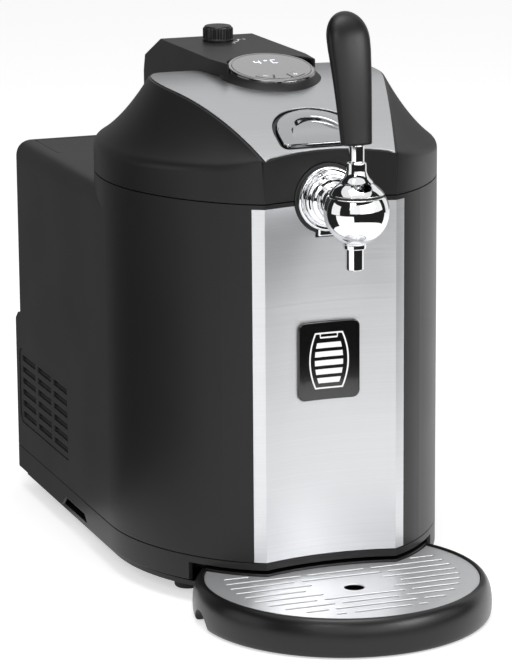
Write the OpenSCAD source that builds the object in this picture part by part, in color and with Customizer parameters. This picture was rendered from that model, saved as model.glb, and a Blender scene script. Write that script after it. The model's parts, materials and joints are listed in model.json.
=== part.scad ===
// Countertop dispenser for a 5 litre party keg: insulated chamber, hinged lid, ball tap, drip tray.
// Millimetres. +X is right, -Y is the front, z = 0 is the surface that the feet stand on.

/* [Body] */
// Width of the body
body_w = 276; // [266:1:300]
// Depth of the oval body, front to back
body_d = 326; // [314:1:344]
// Radius of the body's front
nose_r = 120; // [112:1:126]
// Thickness of the moulded walls
wall = 3; // [2:0.1:4]
// Height of the seam between base and body
base_seam_z = 40; // [37:1:46]
// Gap at each visible seam
seam_gap = 0.6; // [0.4:0.1:1]

/* [Front panel] */
// Distance between the two vertical creases
crease_w = 110.4; // [100:0.4:116]
// Depth of the hollow between the creases
panel_sag = 8; // [5:0.5:11]
// Width of the steel panel
panel_w = 128; // [122:1:140]
// Thickness of the steel panel
panel_t = 1; // [0.6:0.1:1.5]
// Drop of the panel's top edge below the lid seam
panel_top_drop = 3.4; // [2:0.2:6]
// Width of the badge
badge_w = 52; // [40:1:60]
// Height of the badge
badge_h = 64; // [50:1:76]
// Thickness of the badge
badge_t = 2.6; // [1.5:0.1:4]
// Distance of the badge's centre below the lid seam
badge_drop = 129; // [100:1:180]

/* [Rear box] */
// Drop from the lid seam to the top of the box
box_drop = 10; // [10:1:17]
// Distance from the rear of the oval to the upper rear wall
box_back = 103; // [95:1:109]
// Depth of the step in the rear wall
box_step = 15; // [10:1:24]
// Height of the step in the rear wall
box_step_z = 151; // [140:1:156]
// Radius of the box's long top edges
box_edge_r = 16; // [10:1:20]
// Radius of the box's vertical corners
box_corner_r = 8; // [4:1:12]
// Margin of the top cover inside the box's outline
cover_margin = 18; // [16:1:24]

/* [Vents] */
// Length of one side grille
vent_w = 152; // [146:1:156]
// Height of one side grille
vent_h = 68; // [64:1:74]
// Height of the grille's centre
vent_z = 98; // [92:1:104]
// Distance from the upper rear wall to the grille's centre
vent_back = 77; // [75:1:80]
// Height of one vent slot
vent_slot_h = 5; // [3:0.5:6]

/* [Base] */
// Height of the skirt's lower edge
skirt_z = 19; // [16:1:22]
// Height of the tray's cut-out above the table
cutout_z = 33.5; // [32.5:0.5:35]
// Radius of one rubber foot
foot_r = 11; // [8:1:14]
// Height of the rubber feet
foot_h = 11.8; // [8:0.2:13]

/* [Chamber] */
// Height of the chamber's floor above the table
chamber_z = 52; // [48:1:60]
// Room above the keg, up to the lid seam
keg_head = 27; // [24:1:34]
// Diameter of the keg
keg_d = 172; // [160:1:174]
// Height of the keg
keg_h = 250; // [230:1:256]
// Room round the keg
keg_clear = 4; // [2:0.5:5]
// Thickness of the chamber's metal liner
liner_t = 1.5; // [1:0.1:2]
// Thickness of the insulation
foam_t = 20; // [12:1:21]
// Height of the cooling module's centre above the chamber's floor
cooler_up = 173; // [163:1:183]
// Side of the cooling fan
fan_w = 92; // [80:1:92]

/* [Lid] */
// Height of the lid's rim at the sides
rim_h = 25; // [20:1:30]
// Height of the lid's rim at the creases
rim_front_h = 35; // [32:1:38]
// Radius of the steel top's round part
crown_r = 96; // [92:1:99]
// Distance of the round part's centre in front of the body's axis
crown_y = 8; // [4:1:12]
// Radius of the arch that the steel top follows
arch_r = 308; // [300:2:340]
// Distance of the arch's crest behind the body's axis
arch_y = 10; // [4:1:16]
// Height of the arch's crest above the lid seam
arch_h = 79.5; // [76:0.5:84]
// Thickness of the steel top
plate_t = 1; // [0.6:0.1:1.5]
// Height of the hinge axis above the lid seam
hinge_up = 6; // [5:0.5:8]
// Distance from the rear of the oval to the hinge axis
hinge_back = 15; // [13:0.5:19]
// Radius of the hinge pin
hinge_pin_r = 4; // [3:0.5:5]

/* [Bridge and display] */
// Width of the raised bridge
bridge_w = 84; // [76:1:90]
// Height of the bridge's top above the lid seam
bridge_h = 91.5; // [89:0.5:96]
// Overhang of the bridge behind the hinge axis
bridge_over = 10; // [8:0.5:16]
// Radius of the round display
display_r = 34; // [30:1:36]
// Distance of the display's centre in front of the body's axis
display_y = 18; // [14:1:22]
// Height of the display's centre above the lid seam
display_h = 87; // [86:0.5:90]
// Forward tilt of the display
display_tilt = 10.5; // [6:0.5:13]
// Travel of the keys
key_travel = 0.8; // [0.5:0.1:1.2]
// Radius of the regulator knob
knob_r = 13; // [11:0.5:16]
// Height of the regulator knob
knob_h = 13; // [10:0.5:18]
// Distance from the bridge's rear face to the knob
knob_fore = 76; // [68:1:84]

/* [Release] */
// Half width of the release button
release_r = 33; // [30:1:36]
// Distance from the creases back to the button's straight edge
release_back = 13.55; // [12.55:0.5:17.55]
// Depth of the button, front to back
release_d = 46; // [40:1:50]
// Travel of the release button
release_travel = 2.5; // [1.5:0.1:3]

/* [Tap] */
// Radius of the tap's wall flange
flange_r = 27.5; // [24:0.5:30]
// Radius of the ball body
ball_r = 26.5; // [23:0.5:28]
// Distance from the middle of the panel to the ball's centre
ball_reach = 61.45; // [58.45:0.5:68.45]
// Radius of the nozzle
nozzle_r = 7.2; // [6:0.2:9]
// Drop from the tap's axis to the nozzle's tip
nozzle_drop = 46; // [40:1:54]
// Width of the tab below the flange
tab_w = 20; // [14:1:26]
// Radius of the lever's stem
stem_r = 6.6; // [5:0.1:7]
// Height of the handle's lower end above the tap axis
handle_up = 52; // [48:1:58]
// Length of the handle
handle_l = 99; // [80:1:120]
// Greatest width of the handle
handle_w = 34; // [28:1:40]
// Greatest thickness of the handle
handle_t = 22; // [18:1:26]
// Angle through which the lever pulls forward
pull_a = 30; // [20:1:32]
// Lean of the handle towards the rear
handle_lean = 9; // [4:0.5:12]

/* [Drip tray] */
// Radius of the tray's foot
tray_r = 119; // [114:1:122]
// Draw-in of the tray's side from foot to rim
tray_draft = 4.5; // [2:0.5:6]
// Height of the tray's rim above the table
tray_top = 31; // [29:0.5:32]
// Clearance below the tray
tray_lift = 1; // [0.6:0.2:2]
// Distance of the tray's centre in front of the oval
tray_reach = 9; // [5:1:15]
// Distance from the tray's centre to its straight rear wall
tray_back = 68; // [62:1:70]
// Thickness of the drip plate
grid_t = 2; // [1:0.1:3]
// Width of one drip slot
slot_w = 3.2; // [2.4:0.2:4]
// Distance between two rows of slots
slot_pitch = 12.4; // [11:0.2:16]

/* [Hidden] */
$fn = 96;

black = "#202022";
dark = "#2c2c2f";
steel = "#c4c6c9";
chrome = "#dcdfe3";
foam = "#e8e4d8";
alloy = "#a9adb2";
gap = 0.2;              // clearance between seated pieces
run_gap = 0.4;          // clearance beside a moving piece
over = 1;               // overshoot of a cut

seam_z = chamber_z + keg_h + keg_head;
badge_z = seam_z - badge_drop;
box_top_z = seam_z - box_drop;
box_rear = body_d / 2 + box_back;
box_foot = box_rear + box_step;
vent_y = box_rear - vent_back;
cooler_z = chamber_z + cooler_up;
hinge_y = body_d / 2 + hinge_back;
bridge_rear = hinge_y + bridge_over;
knob_y = bridge_rear - knob_fore;

// The oval body: two nose arcs, tangent to two long side arcs.
half_w = body_w / 2;
nose_c = body_d / 2 - nose_r;
side_r = (half_w * half_w + nose_c * nose_c - nose_r * nose_r) / (2 * (half_w - nose_r));
tangent_a = atan2(side_r - half_w, nose_c);
crease_x = crease_w / 2;
crease_y = nose_c + sqrt(nose_r * nose_r - crease_x * crease_x);
front_y = crease_y - panel_sag;
hollow_r = (crease_x * crease_x + panel_sag * panel_sag) / (2 * panel_sag);
hollow_y = front_y + hollow_r;

liner_r = keg_d / 2 + keg_clear;
foam_r = liner_r + liner_t + gap + foam_t;
collar_top = seam_z - 0.4;
collar_t = 5.6;
release_y = crease_y - release_back;
ball_y = front_y + ball_reach;
tray_y = body_d / 2 + tray_reach;
tray_rear = tray_y - tray_back;
tap_z = seam_z + 1;
nozzle_z = tap_z - nozzle_drop;
tap_hole_r = flange_r + 1;
tab_drop = flange_r + 3.5;
hinge_z = seam_z + hinge_up;
arch_z = seam_z + arch_h;
bridge_top = seam_z + bridge_h;
bridge_z = seam_z + 43;
tray_end = tray_y + tray_r;
pan_z = 12;
pan_t = 4;
pan_inset = 6;
y_mid = (tray_end - box_foot) / 2;     // puts the middle of the whole depth on y = 0

module placed() { translate([0, y_mid, 0]) children(); }

// ---- plan outlines -------------------------------------------------------------------------

module oval(grow = 0) {
    reach = nose_c + (nose_r + grow) * cos(tangent_a);
    intersection() {
        translate([side_r - half_w, 0]) circle(side_r + grow);
        translate([half_w - side_r, 0]) circle(side_r + grow);
        square([2 * body_w, 2 * reach], center = true);
    }
    for (s = [-1, 1]) translate([0, s * nose_c]) circle(nose_r + grow);
}

module front_oval(grow = 0) {
    difference() {
        oval(grow);
        translate([0, -hollow_y]) circle(hollow_r - grow);
    }
}

module rounded_rect(w, h, r) {
    square([w - 2 * r, h], center = true);
    square([w, h - 2 * r], center = true);
    for (x = [-1, 1], y = [-1, 1]) translate([x * (w / 2 - r), y * (h / 2 - r)]) circle(r);
}

// Straight-sided plan behind the body's axis, with rounded rear corners.
module box_plan(rear, grow = 0) {
    w = body_w + 2 * grow;
    d = rear + grow + box_corner_r;
    translate([0, rear + grow - d / 2]) rounded_rect(w, d, box_corner_r);
}

module along_y(y0, y1) {
    translate([0, y1, 0]) rotate([90, 0, 0]) linear_extrude(y1 - y0) children();
}

module along_z(z0, z1) {
    translate([0, 0, z0]) linear_extrude(z1 - z0) children();
}

module block(x, y, z) {
    translate([x[0], y[0], z[0]]) cube([x[1] - x[0], y[1] - y[0], z[1] - z[0]]);
}

module rod_y(r, y0, y1, x = 0, z = 0) {
    translate([x, y1, z]) rotate([90, 0, 0]) cylinder(r = r, h = y1 - y0);
}

module rod_x(r, x0, x1, y = 0, z = 0) {
    translate([x0, y, z]) rotate([0, 90, 0]) cylinder(r = r, h = x1 - x0);
}

// Outline of the tap's opening, seen from the front: a round hole with a notch below it.
module tap_outline(grow = 0) {
    circle(tap_hole_r + grow);
    translate([-tab_w / 2 - grow, -tab_drop - grow]) square([tab_w + 2 * grow, tab_drop]);
}

module tap_opening(y0, y1, grow = 0) {
    translate([0, 0, tap_z]) along_y(y0, y1) tap_outline(grow);
}

// ---- base ------------------------------------------------------------------------------------

module base_plan(grow = 0) {
    front_oval(grow);
    box_plan(box_foot, grow);
}

tray_bay_x = tray_r + 2;
module tray_bay(z1) {
    block([-tray_bay_x, tray_bay_x], [-body_d, -tray_rear + run_gap], [-over, z1]);
}

foot_in = [46, 34];      // from the body's side to a front foot and to a rear foot
foot_y = [-62, box_foot - 42];
foot_places = [for (s = [-1, 1], k = [0, 1]) [s * (half_w - foot_in[k]), foot_y[k]]];
screw_in = [26, 78, 68];
screw_y = [0, 120, box_foot - 30];
screw_places = [for (s = [-1, 1], k = [0 : 2]) [s * (half_w - screw_in[k]), screw_y[k]]];

module base_pan() {
    color(black) placed() difference() {
        union() {
            along_z(pan_z, pan_z + pan_t) base_plan(-pan_inset);
            along_z(pan_z, chamber_z - 8) difference() {
                circle(foam_r - 2);
                circle(foam_r - 8);
            }
        }
        tray_bay(base_seam_z);
        for (p = screw_places) translate([p[0], p[1], pan_z - over]) cylinder(r = 2.2, h = pan_t + 2 * over);
    }
}

grip_y = [62, 142];
module grip_notch() {
    rotate([90, 0, 90]) linear_extrude(2 * body_w, center = true)
        polygon([[grip_y[0], skirt_z - over], [grip_y[0] + 12, skirt_z + 9.5],
            [grip_y[1] - 14, skirt_z + 9.5], [grip_y[1], skirt_z - over]]);
}

module base_skirt() {
    color(black) placed() {
        difference() {
            along_z(skirt_z, base_seam_z - seam_gap) base_plan();
            along_z(skirt_z - over, base_seam_z) base_plan(-wall);
            tray_bay(cutout_z);
            grip_notch();
        }
        // roof over the tray's bay, which carries the front of the body
        difference() {
            along_z(cutout_z, base_seam_z - seam_gap) intersection() {
                front_oval(-wall);
                translate([-body_w, -body_d]) square([2 * body_w, body_d - foam_r - 1]);
            }
            along_z(0, base_seam_z) circle(foam_r - 2 + gap);
        }
    }
}

module rubber_feet() {
    color("#151515") placed() for (p = foot_places)
        translate([p[0], p[1], 0]) {
            cylinder(r1 = foot_r - 1, r2 = foot_r, h = 2);
            translate([0, 0, 2]) cylinder(r = foot_r, h = foot_h - 2);
        }
}

module base_screws() {
    color(alloy) placed() for (p = screw_places) translate([p[0], p[1], 0]) {
        translate([0, 0, pan_z - gap - 2]) cylinder(r = 4, h = 2);
        translate([0, 0, pan_z - gap]) cylinder(r = 2, h = pan_t + 4);
    }
}

// ---- body -------------------------------------------------------------------------------------

module box_section(grow = 0) {
    h = box_top_z + grow;
    translate([0, h / 2 - box_edge_r]) rounded_rect(body_w + 2 * grow, h + 2 * box_edge_r, box_edge_r);
}

// The box behind the oval, grown or shrunk, from z0 up.
module rear_box(z0, grow = 0) {
    intersection() {
        union() {
            along_z(z0, box_top_z + grow) box_plan(box_rear, grow);
            along_z(z0, box_step_z + grow) box_plan(box_foot, grow);
            intersection() {
                along_z(z0, box_step_z + 13 + grow) box_plan(box_foot, grow);
                rotate([90, 0, 90]) linear_extrude(2 * body_w, center = true)
                    polygon([[0, 0], [box_foot + grow, 0], [box_foot + grow, box_step_z],
                        [box_rear + grow, box_step_z + 13 + grow], [0, box_step_z + 13 + grow]]);
            }
        }
        along_y(-over, box_foot + over) box_section(grow);
    }
}

module vent_outline(grow = 0) { rounded_rect(vent_w + 2 * grow, vent_h + 2 * grow, 8 + grow); }

module vent_place(side) {
    translate([side * half_w, vent_y, vent_z]) rotate([90, 0, 90]) children();
}

rear_cover_x = half_w - 38;
rear_cover_z = [box_step_z + 22, box_top_z - 20];
inlet_w = 48;
inlet_h = 28;
inlet_x = half_w - 60;
inlet_z = 84;
cover_front = hinge_y + 14;

module housing_shell() {
    color(black) placed() difference() {
        union() {
            along_z(base_seam_z, seam_z) front_oval();
            rear_box(base_seam_z);
        }
        along_z(base_seam_z - over, seam_z + over) front_oval(-wall);
        rear_box(base_seam_z - over, -wall);
        // recess for the steel panel, and the round seat of the tap
        intersection() {
            along_z(base_seam_z - over, seam_z - panel_top_drop + gap) difference() {
                front_oval(over);
                front_oval(-panel_t - gap);
            }
            block([-panel_w / 2 - gap, panel_w / 2 + gap], [-body_d, 0], [0, seam_z]);
        }
        tap_opening(-body_d, -front_y + 20);
        for (s = [-1, 1]) vent_place(s) linear_extrude(40, center = true) vent_outline(gap);
        block([-rear_cover_x, rear_cover_x], [box_rear - wall - over, box_rear + over], rear_cover_z);
        block([inlet_x - inlet_w / 2, inlet_x + inlet_w / 2], [box_foot - wall - over, box_foot + over],
            [inlet_z - inlet_h / 2, inlet_z + inlet_h / 2]);
        // recess and opening of the top cover
        block([-half_w + cover_margin, half_w - cover_margin], [cover_front, box_rear - 5],
            [box_top_z - 2 - gap, box_top_z + over]);
        block([-half_w + cover_margin + 8, half_w - cover_margin - 8], [cover_front + 8, box_rear - 13],
            [box_top_z - 2 * wall, box_top_z + over]);
    }
}

module rear_top_cover() {
    w = body_w - 2 * cover_margin - 1;
    color(black) placed() along_z(box_top_z - 2, box_top_z)
        translate([0, (cover_front + box_rear - 5) / 2]) rounded_rect(w, box_rear - 6 - cover_front, 3);
}

vent_cols = 3;
vent_rows = 6;
module side_grille(side) {
    col = (vent_w - 8) / vent_cols;
    row = (vent_h - 6) / vent_rows;
    thick = wall - 0.6;
    shift = side > 0 ? -wall : 0.6;
    vent_place(side) translate([0, 0, shift]) linear_extrude(thick) difference() {
        vent_outline();
        for (i = [0 : vent_cols - 1], k = [0 : vent_rows - 1])
            translate([(i - (vent_cols - 1) / 2) * col, (k - (vent_rows - 1) / 2) * row])
                square([col - 7.5, vent_slot_h], center = true);
    }
}
module side_grille_left() { color(dark) placed() side_grille(-1); }
module side_grille_right() { color(dark) placed() side_grille(1); }

cover_holes = [for (x = [-1, 1], k = [0, 1]) [x * (rear_cover_x - 8), rear_cover_z[k] + (k == 0 ? 8 : -8)]];
module rear_cover() {
    z_mid = (rear_cover_z[0] + rear_cover_z[1]) / 2;
    rows = 11;
    color(dark) placed() along_y(box_rear - wall, box_rear - 0.8) difference() {
        translate([0, z_mid]) rounded_rect(2 * rear_cover_x - 2 * gap,
            rear_cover_z[1] - rear_cover_z[0] - 2 * gap, 3);
        for (k = [0 : rows - 1]) translate([0, z_mid + (k - (rows - 1) / 2) * 9]) for (s = [-1, 1])
            translate([s * 34, 0]) square([58, 4], center = true);
        for (p = cover_holes) translate(p) circle(2.2);
    }
}

module cover_screws() {
    color(alloy) placed() for (p = cover_holes) {
        rod_y(3.6, box_rear - 0.8 + gap, box_rear + 0.6, x = p[0], z = p[1]);
        rod_y(2, box_rear - wall - 5, box_rear - 0.8 + gap, x = p[0], z = p[1]);
    }
}

module power_inlet() {
    color("#141414") placed() difference() {
        block([inlet_x - inlet_w / 2 + gap, inlet_x + inlet_w / 2 - gap], [box_foot - 24, box_foot - 0.5],
            [inlet_z - inlet_h / 2 + gap, inlet_z + inlet_h / 2 - gap]);
        block([inlet_x - 13, inlet_x + 13], [box_foot - 17, box_foot + over], [inlet_z - 9, inlet_z + 9]);
    }
}

// ---- front panel and badge -----------------------------------------------------------------

module front_panel() {
    color(steel) placed() difference() {
        intersection() {
            along_z(base_seam_z + 0.2, seam_z - panel_top_drop) difference() {
                front_oval();
                front_oval(-panel_t);
            }
            block([-panel_w / 2, panel_w / 2], [-body_d, 0], [0, seam_z]);
        }
        tap_opening(-body_d, 0);
    }
}

module badge_plate() {
    color("#0c0c0d") placed() intersection() {
        translate([0, 0, badge_z]) along_y(-body_d / 2, -front_y + 5) rounded_rect(badge_w, badge_h, 6);
        translate([0, -hollow_y, badge_z - badge_h]) difference() {
            cylinder(r = hollow_r - 0.1, h = 2 * badge_h, $fn = 180);
            translate([0, 0, -over]) cylinder(r = hollow_r - badge_t, h = 2 * badge_h + 2 * over, $fn = 180);
        }
    }
}

// ---- chamber and cooler --------------------------------------------------------------------------

module chamber_liner() {
    color(alloy) placed() difference() {
        translate([0, 0, chamber_z - liner_t]) cylinder(r = liner_r + liner_t, h = collar_top - chamber_z);
        translate([0, 0, chamber_z]) cylinder(r = liner_r, h = seam_z);
    }
}

block_w = 60;
block_h = 70;
module chamber_insulation() {
    top = collar_top - collar_t - gap;
    color(foam) placed() difference() {
        translate([0, 0, chamber_z - 8]) cylinder(r = foam_r, h = top - chamber_z + 8);
        translate([0, 0, chamber_z - liner_t - gap]) cylinder(r = liner_r + liner_t + gap, h = seam_z);
        block([-block_w / 2 - gap, block_w / 2 + gap], [0, body_d],
            [cooler_z - block_h / 2 - gap, cooler_z + block_h / 2 + gap]);
    }
}

latch_x = 36;
latch_back = 27.55;
latch_y = crease_y - latch_back;
latch_edge = latch_y - 4.5;
latch_pivot_z = seam_z + 21;
latch_pin_r = 3;
module chamber_collar() {
    color(dark) placed() difference() {
        along_z(collar_top - collar_t, collar_top) front_oval(-wall - gap);
        cylinder(r = liner_r + liner_t + gap, h = 2 * seam_z);
        block([-tap_hole_r - 1, tap_hole_r + 1], [-body_d, -front_y + 18], [0, 2 * seam_z]);
        for (s = [-1, 1]) block([s * latch_x - 4.5, s * latch_x + 4.5], [-latch_edge - 16, -latch_edge],
            [0, 2 * seam_z]);
    }
}

block_back = foam_r + 2;
module cold_block() {
    color(alloy) placed() difference() {
        block([-block_w / 2, block_w / 2], [liner_r - 6, block_back],
            [cooler_z - block_h / 2, cooler_z + block_h / 2]);
        translate([0, 0, cooler_z - block_h]) cylinder(r = liner_r + liner_t + 0.1, h = 2 * block_h);
    }
}

peltier_back = block_back + gap + 4;
module peltier_module() {
    color("#f2f2ee") placed() block([-20, 20], [block_back + gap, peltier_back], [cooler_z - 20, cooler_z + 20]);
}

sink_w = 100;
fins = 13;
fin_t = 1.6;
fin_back = peltier_back + gap + 32;
module heat_sink() {
    color(alloy) placed() {
        block([-sink_w / 2, sink_w / 2], [peltier_back + gap, peltier_back + gap + 6],
            [cooler_z - sink_w / 2, cooler_z + sink_w / 2]);
        for (i = [0 : fins - 1]) translate([(i - (fins - 1) / 2) * (sink_w - fin_t) / (fins - 1), 0, 0])
            block([-fin_t / 2, fin_t / 2], [peltier_back + gap + 5, fin_back],
                [cooler_z - sink_w / 2, cooler_z + sink_w / 2]);
    }
}

fan_front = fin_back + gap;
fan_t = 25;
fan_bore = fan_w / 2 - 3;
module fan_housing() {
    color("#1a1a1a") placed() {
        translate([0, 0, cooler_z]) along_y(fan_front, fan_front + fan_t) difference() {
            rounded_rect(fan_w, fan_w, 5);
            circle(fan_bore);
            for (x = [-1, 1], y = [-1, 1]) translate([x, y] * (fan_w / 2 - 5)) circle(2.1);
        }
        for (a = [0, 120, 240]) translate([0, 0, cooler_z]) rotate([0, a, 0])
            block([10, fan_bore + 1], [fan_front + fan_t - 3, fan_front + fan_t], [-2, 2]);
        difference() {
            rod_y(14, fan_front + fan_t - 3, fan_front + fan_t, z = cooler_z);
            rod_y(2.05, fan_front, fan_front + fan_t + over, z = cooler_z);
        }
    }
}

blades = 7;
module fan_rotor() {
    color("#26262a") placed() {
        rod_y(16, fan_front + 3, fan_front + fan_t - 3 - run_gap, z = cooler_z);
        rod_y(2, fan_front + 4, fan_front + fan_t, z = cooler_z);
        for (i = [0 : blades - 1]) translate([0, fan_front + 12, cooler_z]) rotate([0, i * 360 / blades, 0])
            translate([14, 0, 0]) rotate([35, 0, 0]) translate([0, -8, -0.8]) cube([fan_bore - 16, 16, 1.6]);
    }
}

psu_z = pan_z + pan_t + gap;
psu_x = [-70, 40];
psu_y = [box_rear - 94, box_rear - 20];
psu_h = 42;
module power_supply() {
    color(alloy) placed() block(psu_x, psu_y, [psu_z, psu_z + psu_h]);
}

board_in = 4;            // the board's margin inside the supply's outline
board_post = 6;
board_t = 2;
chip = [12, 14, 6];
module control_board() {
    foot = psu_z + psu_h + gap;
    x = [psu_x[0] + board_in, psu_x[1] - board_in];
    y = [psu_y[0] + board_in, psu_y[1] - board_in];
    color("#1f5a38") placed() {
        for (px = x, py = y) translate([px + (px < 0 ? board_in : -board_in), py + (py == y[0] ? board_in : -board_in),
            foot]) cylinder(r = 3, h = board_post);
        block(x, y, [foot + board_post - gap, foot + board_post - gap + board_t]);
        for (i = [0 : 3]) translate([x[0] + chip[0] * (i * 5 / 3 + 4 / 3), y[0] + 2 * chip[0],
            foot + board_post - gap + board_t]) cube(chip);
    }
}

// ---- hinge --------------------------------------------------------------------------------------------

arm_w = 56;
ear_t = 9;
module hinge_brackets() {
    color(dark) placed() for (s = [-1, 1]) difference() {
        union() {
            block(s > 0 ? [arm_w / 2 + run_gap, arm_w / 2 + ear_t] : [-arm_w / 2 - ear_t, -arm_w / 2 - run_gap],
                [hinge_y - 9, hinge_y + 9], [box_top_z + 0.1, hinge_z]);
            rod_x(9, s > 0 ? arm_w / 2 + run_gap : -arm_w / 2 - ear_t,
                s > 0 ? arm_w / 2 + ear_t : -arm_w / 2 - run_gap, hinge_y, hinge_z);
        }
        rod_x(hinge_pin_r + 0.03, -body_w, body_w, hinge_y, hinge_z);
    }
}

module hinge_pin() {
    color(chrome) placed() rod_x(hinge_pin_r, -arm_w / 2 - ear_t - 1, arm_w / 2 + ear_t + 1, hinge_y, hinge_z);
}

module hinge_arm() {
    color(dark) placed() difference() {
        union() {
            rod_x(9, -arm_w / 2, arm_w / 2, hinge_y, hinge_z);
            block([-arm_w / 2, arm_w / 2], [hinge_y - 9, bridge_rear], [hinge_z, bridge_z - 4 - gap]);
        }
        rod_x(hinge_pin_r + 0.05, -body_w, body_w, hinge_y, hinge_z);
    }
}

// ---- tap --------------------------------------------------------------------------------------------------

mount_front = front_y + 2.1;
shank_r = 8;
neck_r = 14.5;
neck_l = ball_y - ball_r - 1 - mount_front - 2 * gap;
module tap_mount() {
    color(dark) placed() difference() {
        union() {
            tap_opening(-mount_front, -front_y + 6, -0.6);
            block([-20, 20], [-front_y + wall + gap, -front_y + wall + 5], [tap_z - 58, tap_z]);
        }
        rod_y(shank_r + 0.1, -body_d, 0, z = tap_z);
    }
}

module tap_flange() {
    color(chrome) placed() translate([0, -mount_front - gap, tap_z]) rotate([90, 0, 0]) difference() {
        union() {
            rotate_extrude() polygon([[0, 0], [flange_r, 0], [flange_r, 2], [flange_r - 2.5, 4.2],
                [21.5, 4.8], [21, 8], [18, 9], [17.5, 13], [neck_r, 14.5], [neck_r, neck_l], [0, neck_l]]);
            linear_extrude(2) translate([-tab_w / 2 + 1.4, -tab_drop + 1.4]) square([tab_w - 2.8, tab_drop]);
        }
        translate([0, 0, -over]) cylinder(r = shank_r + 0.1, h = 2 * neck_l);
    }
}

module tap_shank() {
    color(chrome) placed() difference() {
        union() {
            rod_y(shank_r, -ball_y + ball_r - 1.4, -front_y + 16, z = tap_z);
            rod_y(12, -front_y + wall + 5 + gap, -front_y + wall + 10, z = tap_z);
        }
        rod_y(4, -ball_y, -front_y + 20, z = tap_z);
    }
}

cap_up = 13;            // height of the seam between the ball and its cap
pivot_r = 9;            // the lever's round cross-piece, inside the ball
pivot_l = 10;
// Room for the lever, swept from upright to a little past its full pull.
module ball_slot() {
    sweep = pull_a + 2;
    reach = 2 * ball_r;
    for (a = [0, sweep]) rotate([a, 0, 0]) cylinder(r = stem_r + run_gap, h = reach);
    rotate([90, 0, 90]) linear_extrude(2 * stem_r + run_gap, center = true)
        polygon([[0, 0], [0, reach], [-reach * tan(sweep / 2), reach], [-reach * sin(sweep), reach * cos(sweep)]]);
}

module tap_body() {
    color(chrome) placed() difference() {
        union() {
            translate([0, -ball_y, tap_z]) sphere(ball_r);
            rod_y(neck_r + 0.8, -ball_y, -ball_y + ball_r + 1, z = tap_z);
            translate([0, -ball_y + 4, nozzle_z + 22]) cylinder(r = 9.6, h = 12);
        }
        rod_x(pivot_r + 0.05, -pivot_l - run_gap, pivot_l + run_gap, -ball_y, tap_z);
        translate([0, -ball_y, tap_z]) ball_slot();
        block([-ball_r - over, ball_r + over], [-ball_y - 2 * ball_r, -ball_y + 2 * ball_r],
            [tap_z + cap_up, tap_z + 2 * ball_r]);
        rod_y(shank_r + 0.1, -ball_y + ball_r - 1.6, 0, z = tap_z);
        translate([0, -ball_y + 4, nozzle_z]) cylinder(r = nozzle_r + 0.1, h = 34);
    }
}

module tap_cap() {
    color(chrome) placed() difference() {
        intersection() {
            translate([0, -ball_y, tap_z]) sphere(ball_r + 0.5);
            block([-body_w, body_w], [-body_d, body_d], [tap_z + cap_up + gap, tap_z + 2 * ball_r]);
        }
        translate([0, -ball_y, tap_z]) ball_slot();
    }
}

module tap_nozzle() {
    color(chrome) placed() translate([0, -ball_y + 4, nozzle_z]) difference() {
        union() {
            cylinder(r1 = nozzle_r - 0.8, r2 = nozzle_r, h = 2);
            translate([0, 0, 2]) cylinder(r = nozzle_r, h = 30);
        }
        translate([0, 0, -over]) cylinder(r = nozzle_r - 2, h = 40);
    }
}

handle_z = tap_z + handle_up;
spigot_r = 4;
spigot_l = 8;            // short enough to stay inside the leaning handle
module lever_stem() {
    color(chrome) placed() translate([0, -ball_y, tap_z]) {
        rod_x(pivot_r, -pivot_l, pivot_l);
        cylinder(r = stem_r, h = handle_up - gap);
        cylinder(r = spigot_r, h = handle_up + spigot_l);
        difference() {
            rotate_extrude() polygon([[0, ball_r - 4], [13.5, ball_r - 4], [10, ball_r + 1], [8.6, ball_r + 4],
                [8.6, ball_r + 10], [0, ball_r + 10]]);
            sphere(ball_r + 0.5 + run_gap);
        }
    }
}

// Sections of the handle, from the ferrule to the round top: height, half width, half thickness, rear shift.
handle_n = 28;
function handle_s(t) = t < 0.78 ? 1 : sqrt(max(0, 1 - pow((t - 0.78) / 0.22, 2.2)));
function handle_section(t) = [
    t * handle_l,
    (12.5 + (handle_w / 2 - 12.5) * pow(t / 0.72, 1.1) * (t < 0.72 ? 1 : 0.72 / t)) * max(0.12, handle_s(t)),
    (5.5 + (handle_t / 2 - 5.5) * pow(t, 1.6)) * max(0.12, handle_s(t)),
    tan(handle_lean) * t * handle_l + 9 * pow(t, 3)];
handle_rings = [0, 0.04, 0.12, 0.22, 0.34, 0.46, 0.58, 0.7, 0.78, 0.85, 0.9, 0.94, 0.97, 0.99, 1];
function super_pt(a, rx, ry) = [rx * sign(cos(a)) * pow(abs(cos(a)), 0.72),
    ry * sign(sin(a)) * pow(abs(sin(a)), 0.72)];

module handle_solid() {
    n = len(handle_rings);
    pts = [for (t = handle_rings) let (s = handle_section(t)) for (i = [0 : handle_n - 1])
        let (p = super_pt(360 * i / handle_n, s[1], s[2])) [p[0], p[1] + s[3], s[0]]];
    faces = concat(
        [[for (i = [0 : handle_n - 1]) i]],
        [for (k = [0 : n - 2], i = [0 : handle_n - 1]) let (j = (i + 1) % handle_n)
            [k * handle_n + i, (k + 1) * handle_n + i, (k + 1) * handle_n + j]],
        [for (k = [0 : n - 2], i = [0 : handle_n - 1]) let (j = (i + 1) % handle_n)
            [k * handle_n + i, (k + 1) * handle_n + j, k * handle_n + j]],
        [[for (i = [handle_n - 1 : -1 : 0]) (n - 1) * handle_n + i]]);
    polyhedron(pts, faces);
}

module tap_handle() {
    color("#161616") placed() translate([0, -ball_y, handle_z]) difference() {
        handle_solid();
        translate([0, 0, -over]) cylinder(r = spigot_r + 0.1, h = spigot_l + 0.5 + over);
    }
}

// ---- lid ------------------------------------------------------------------------------------------------------

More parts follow.
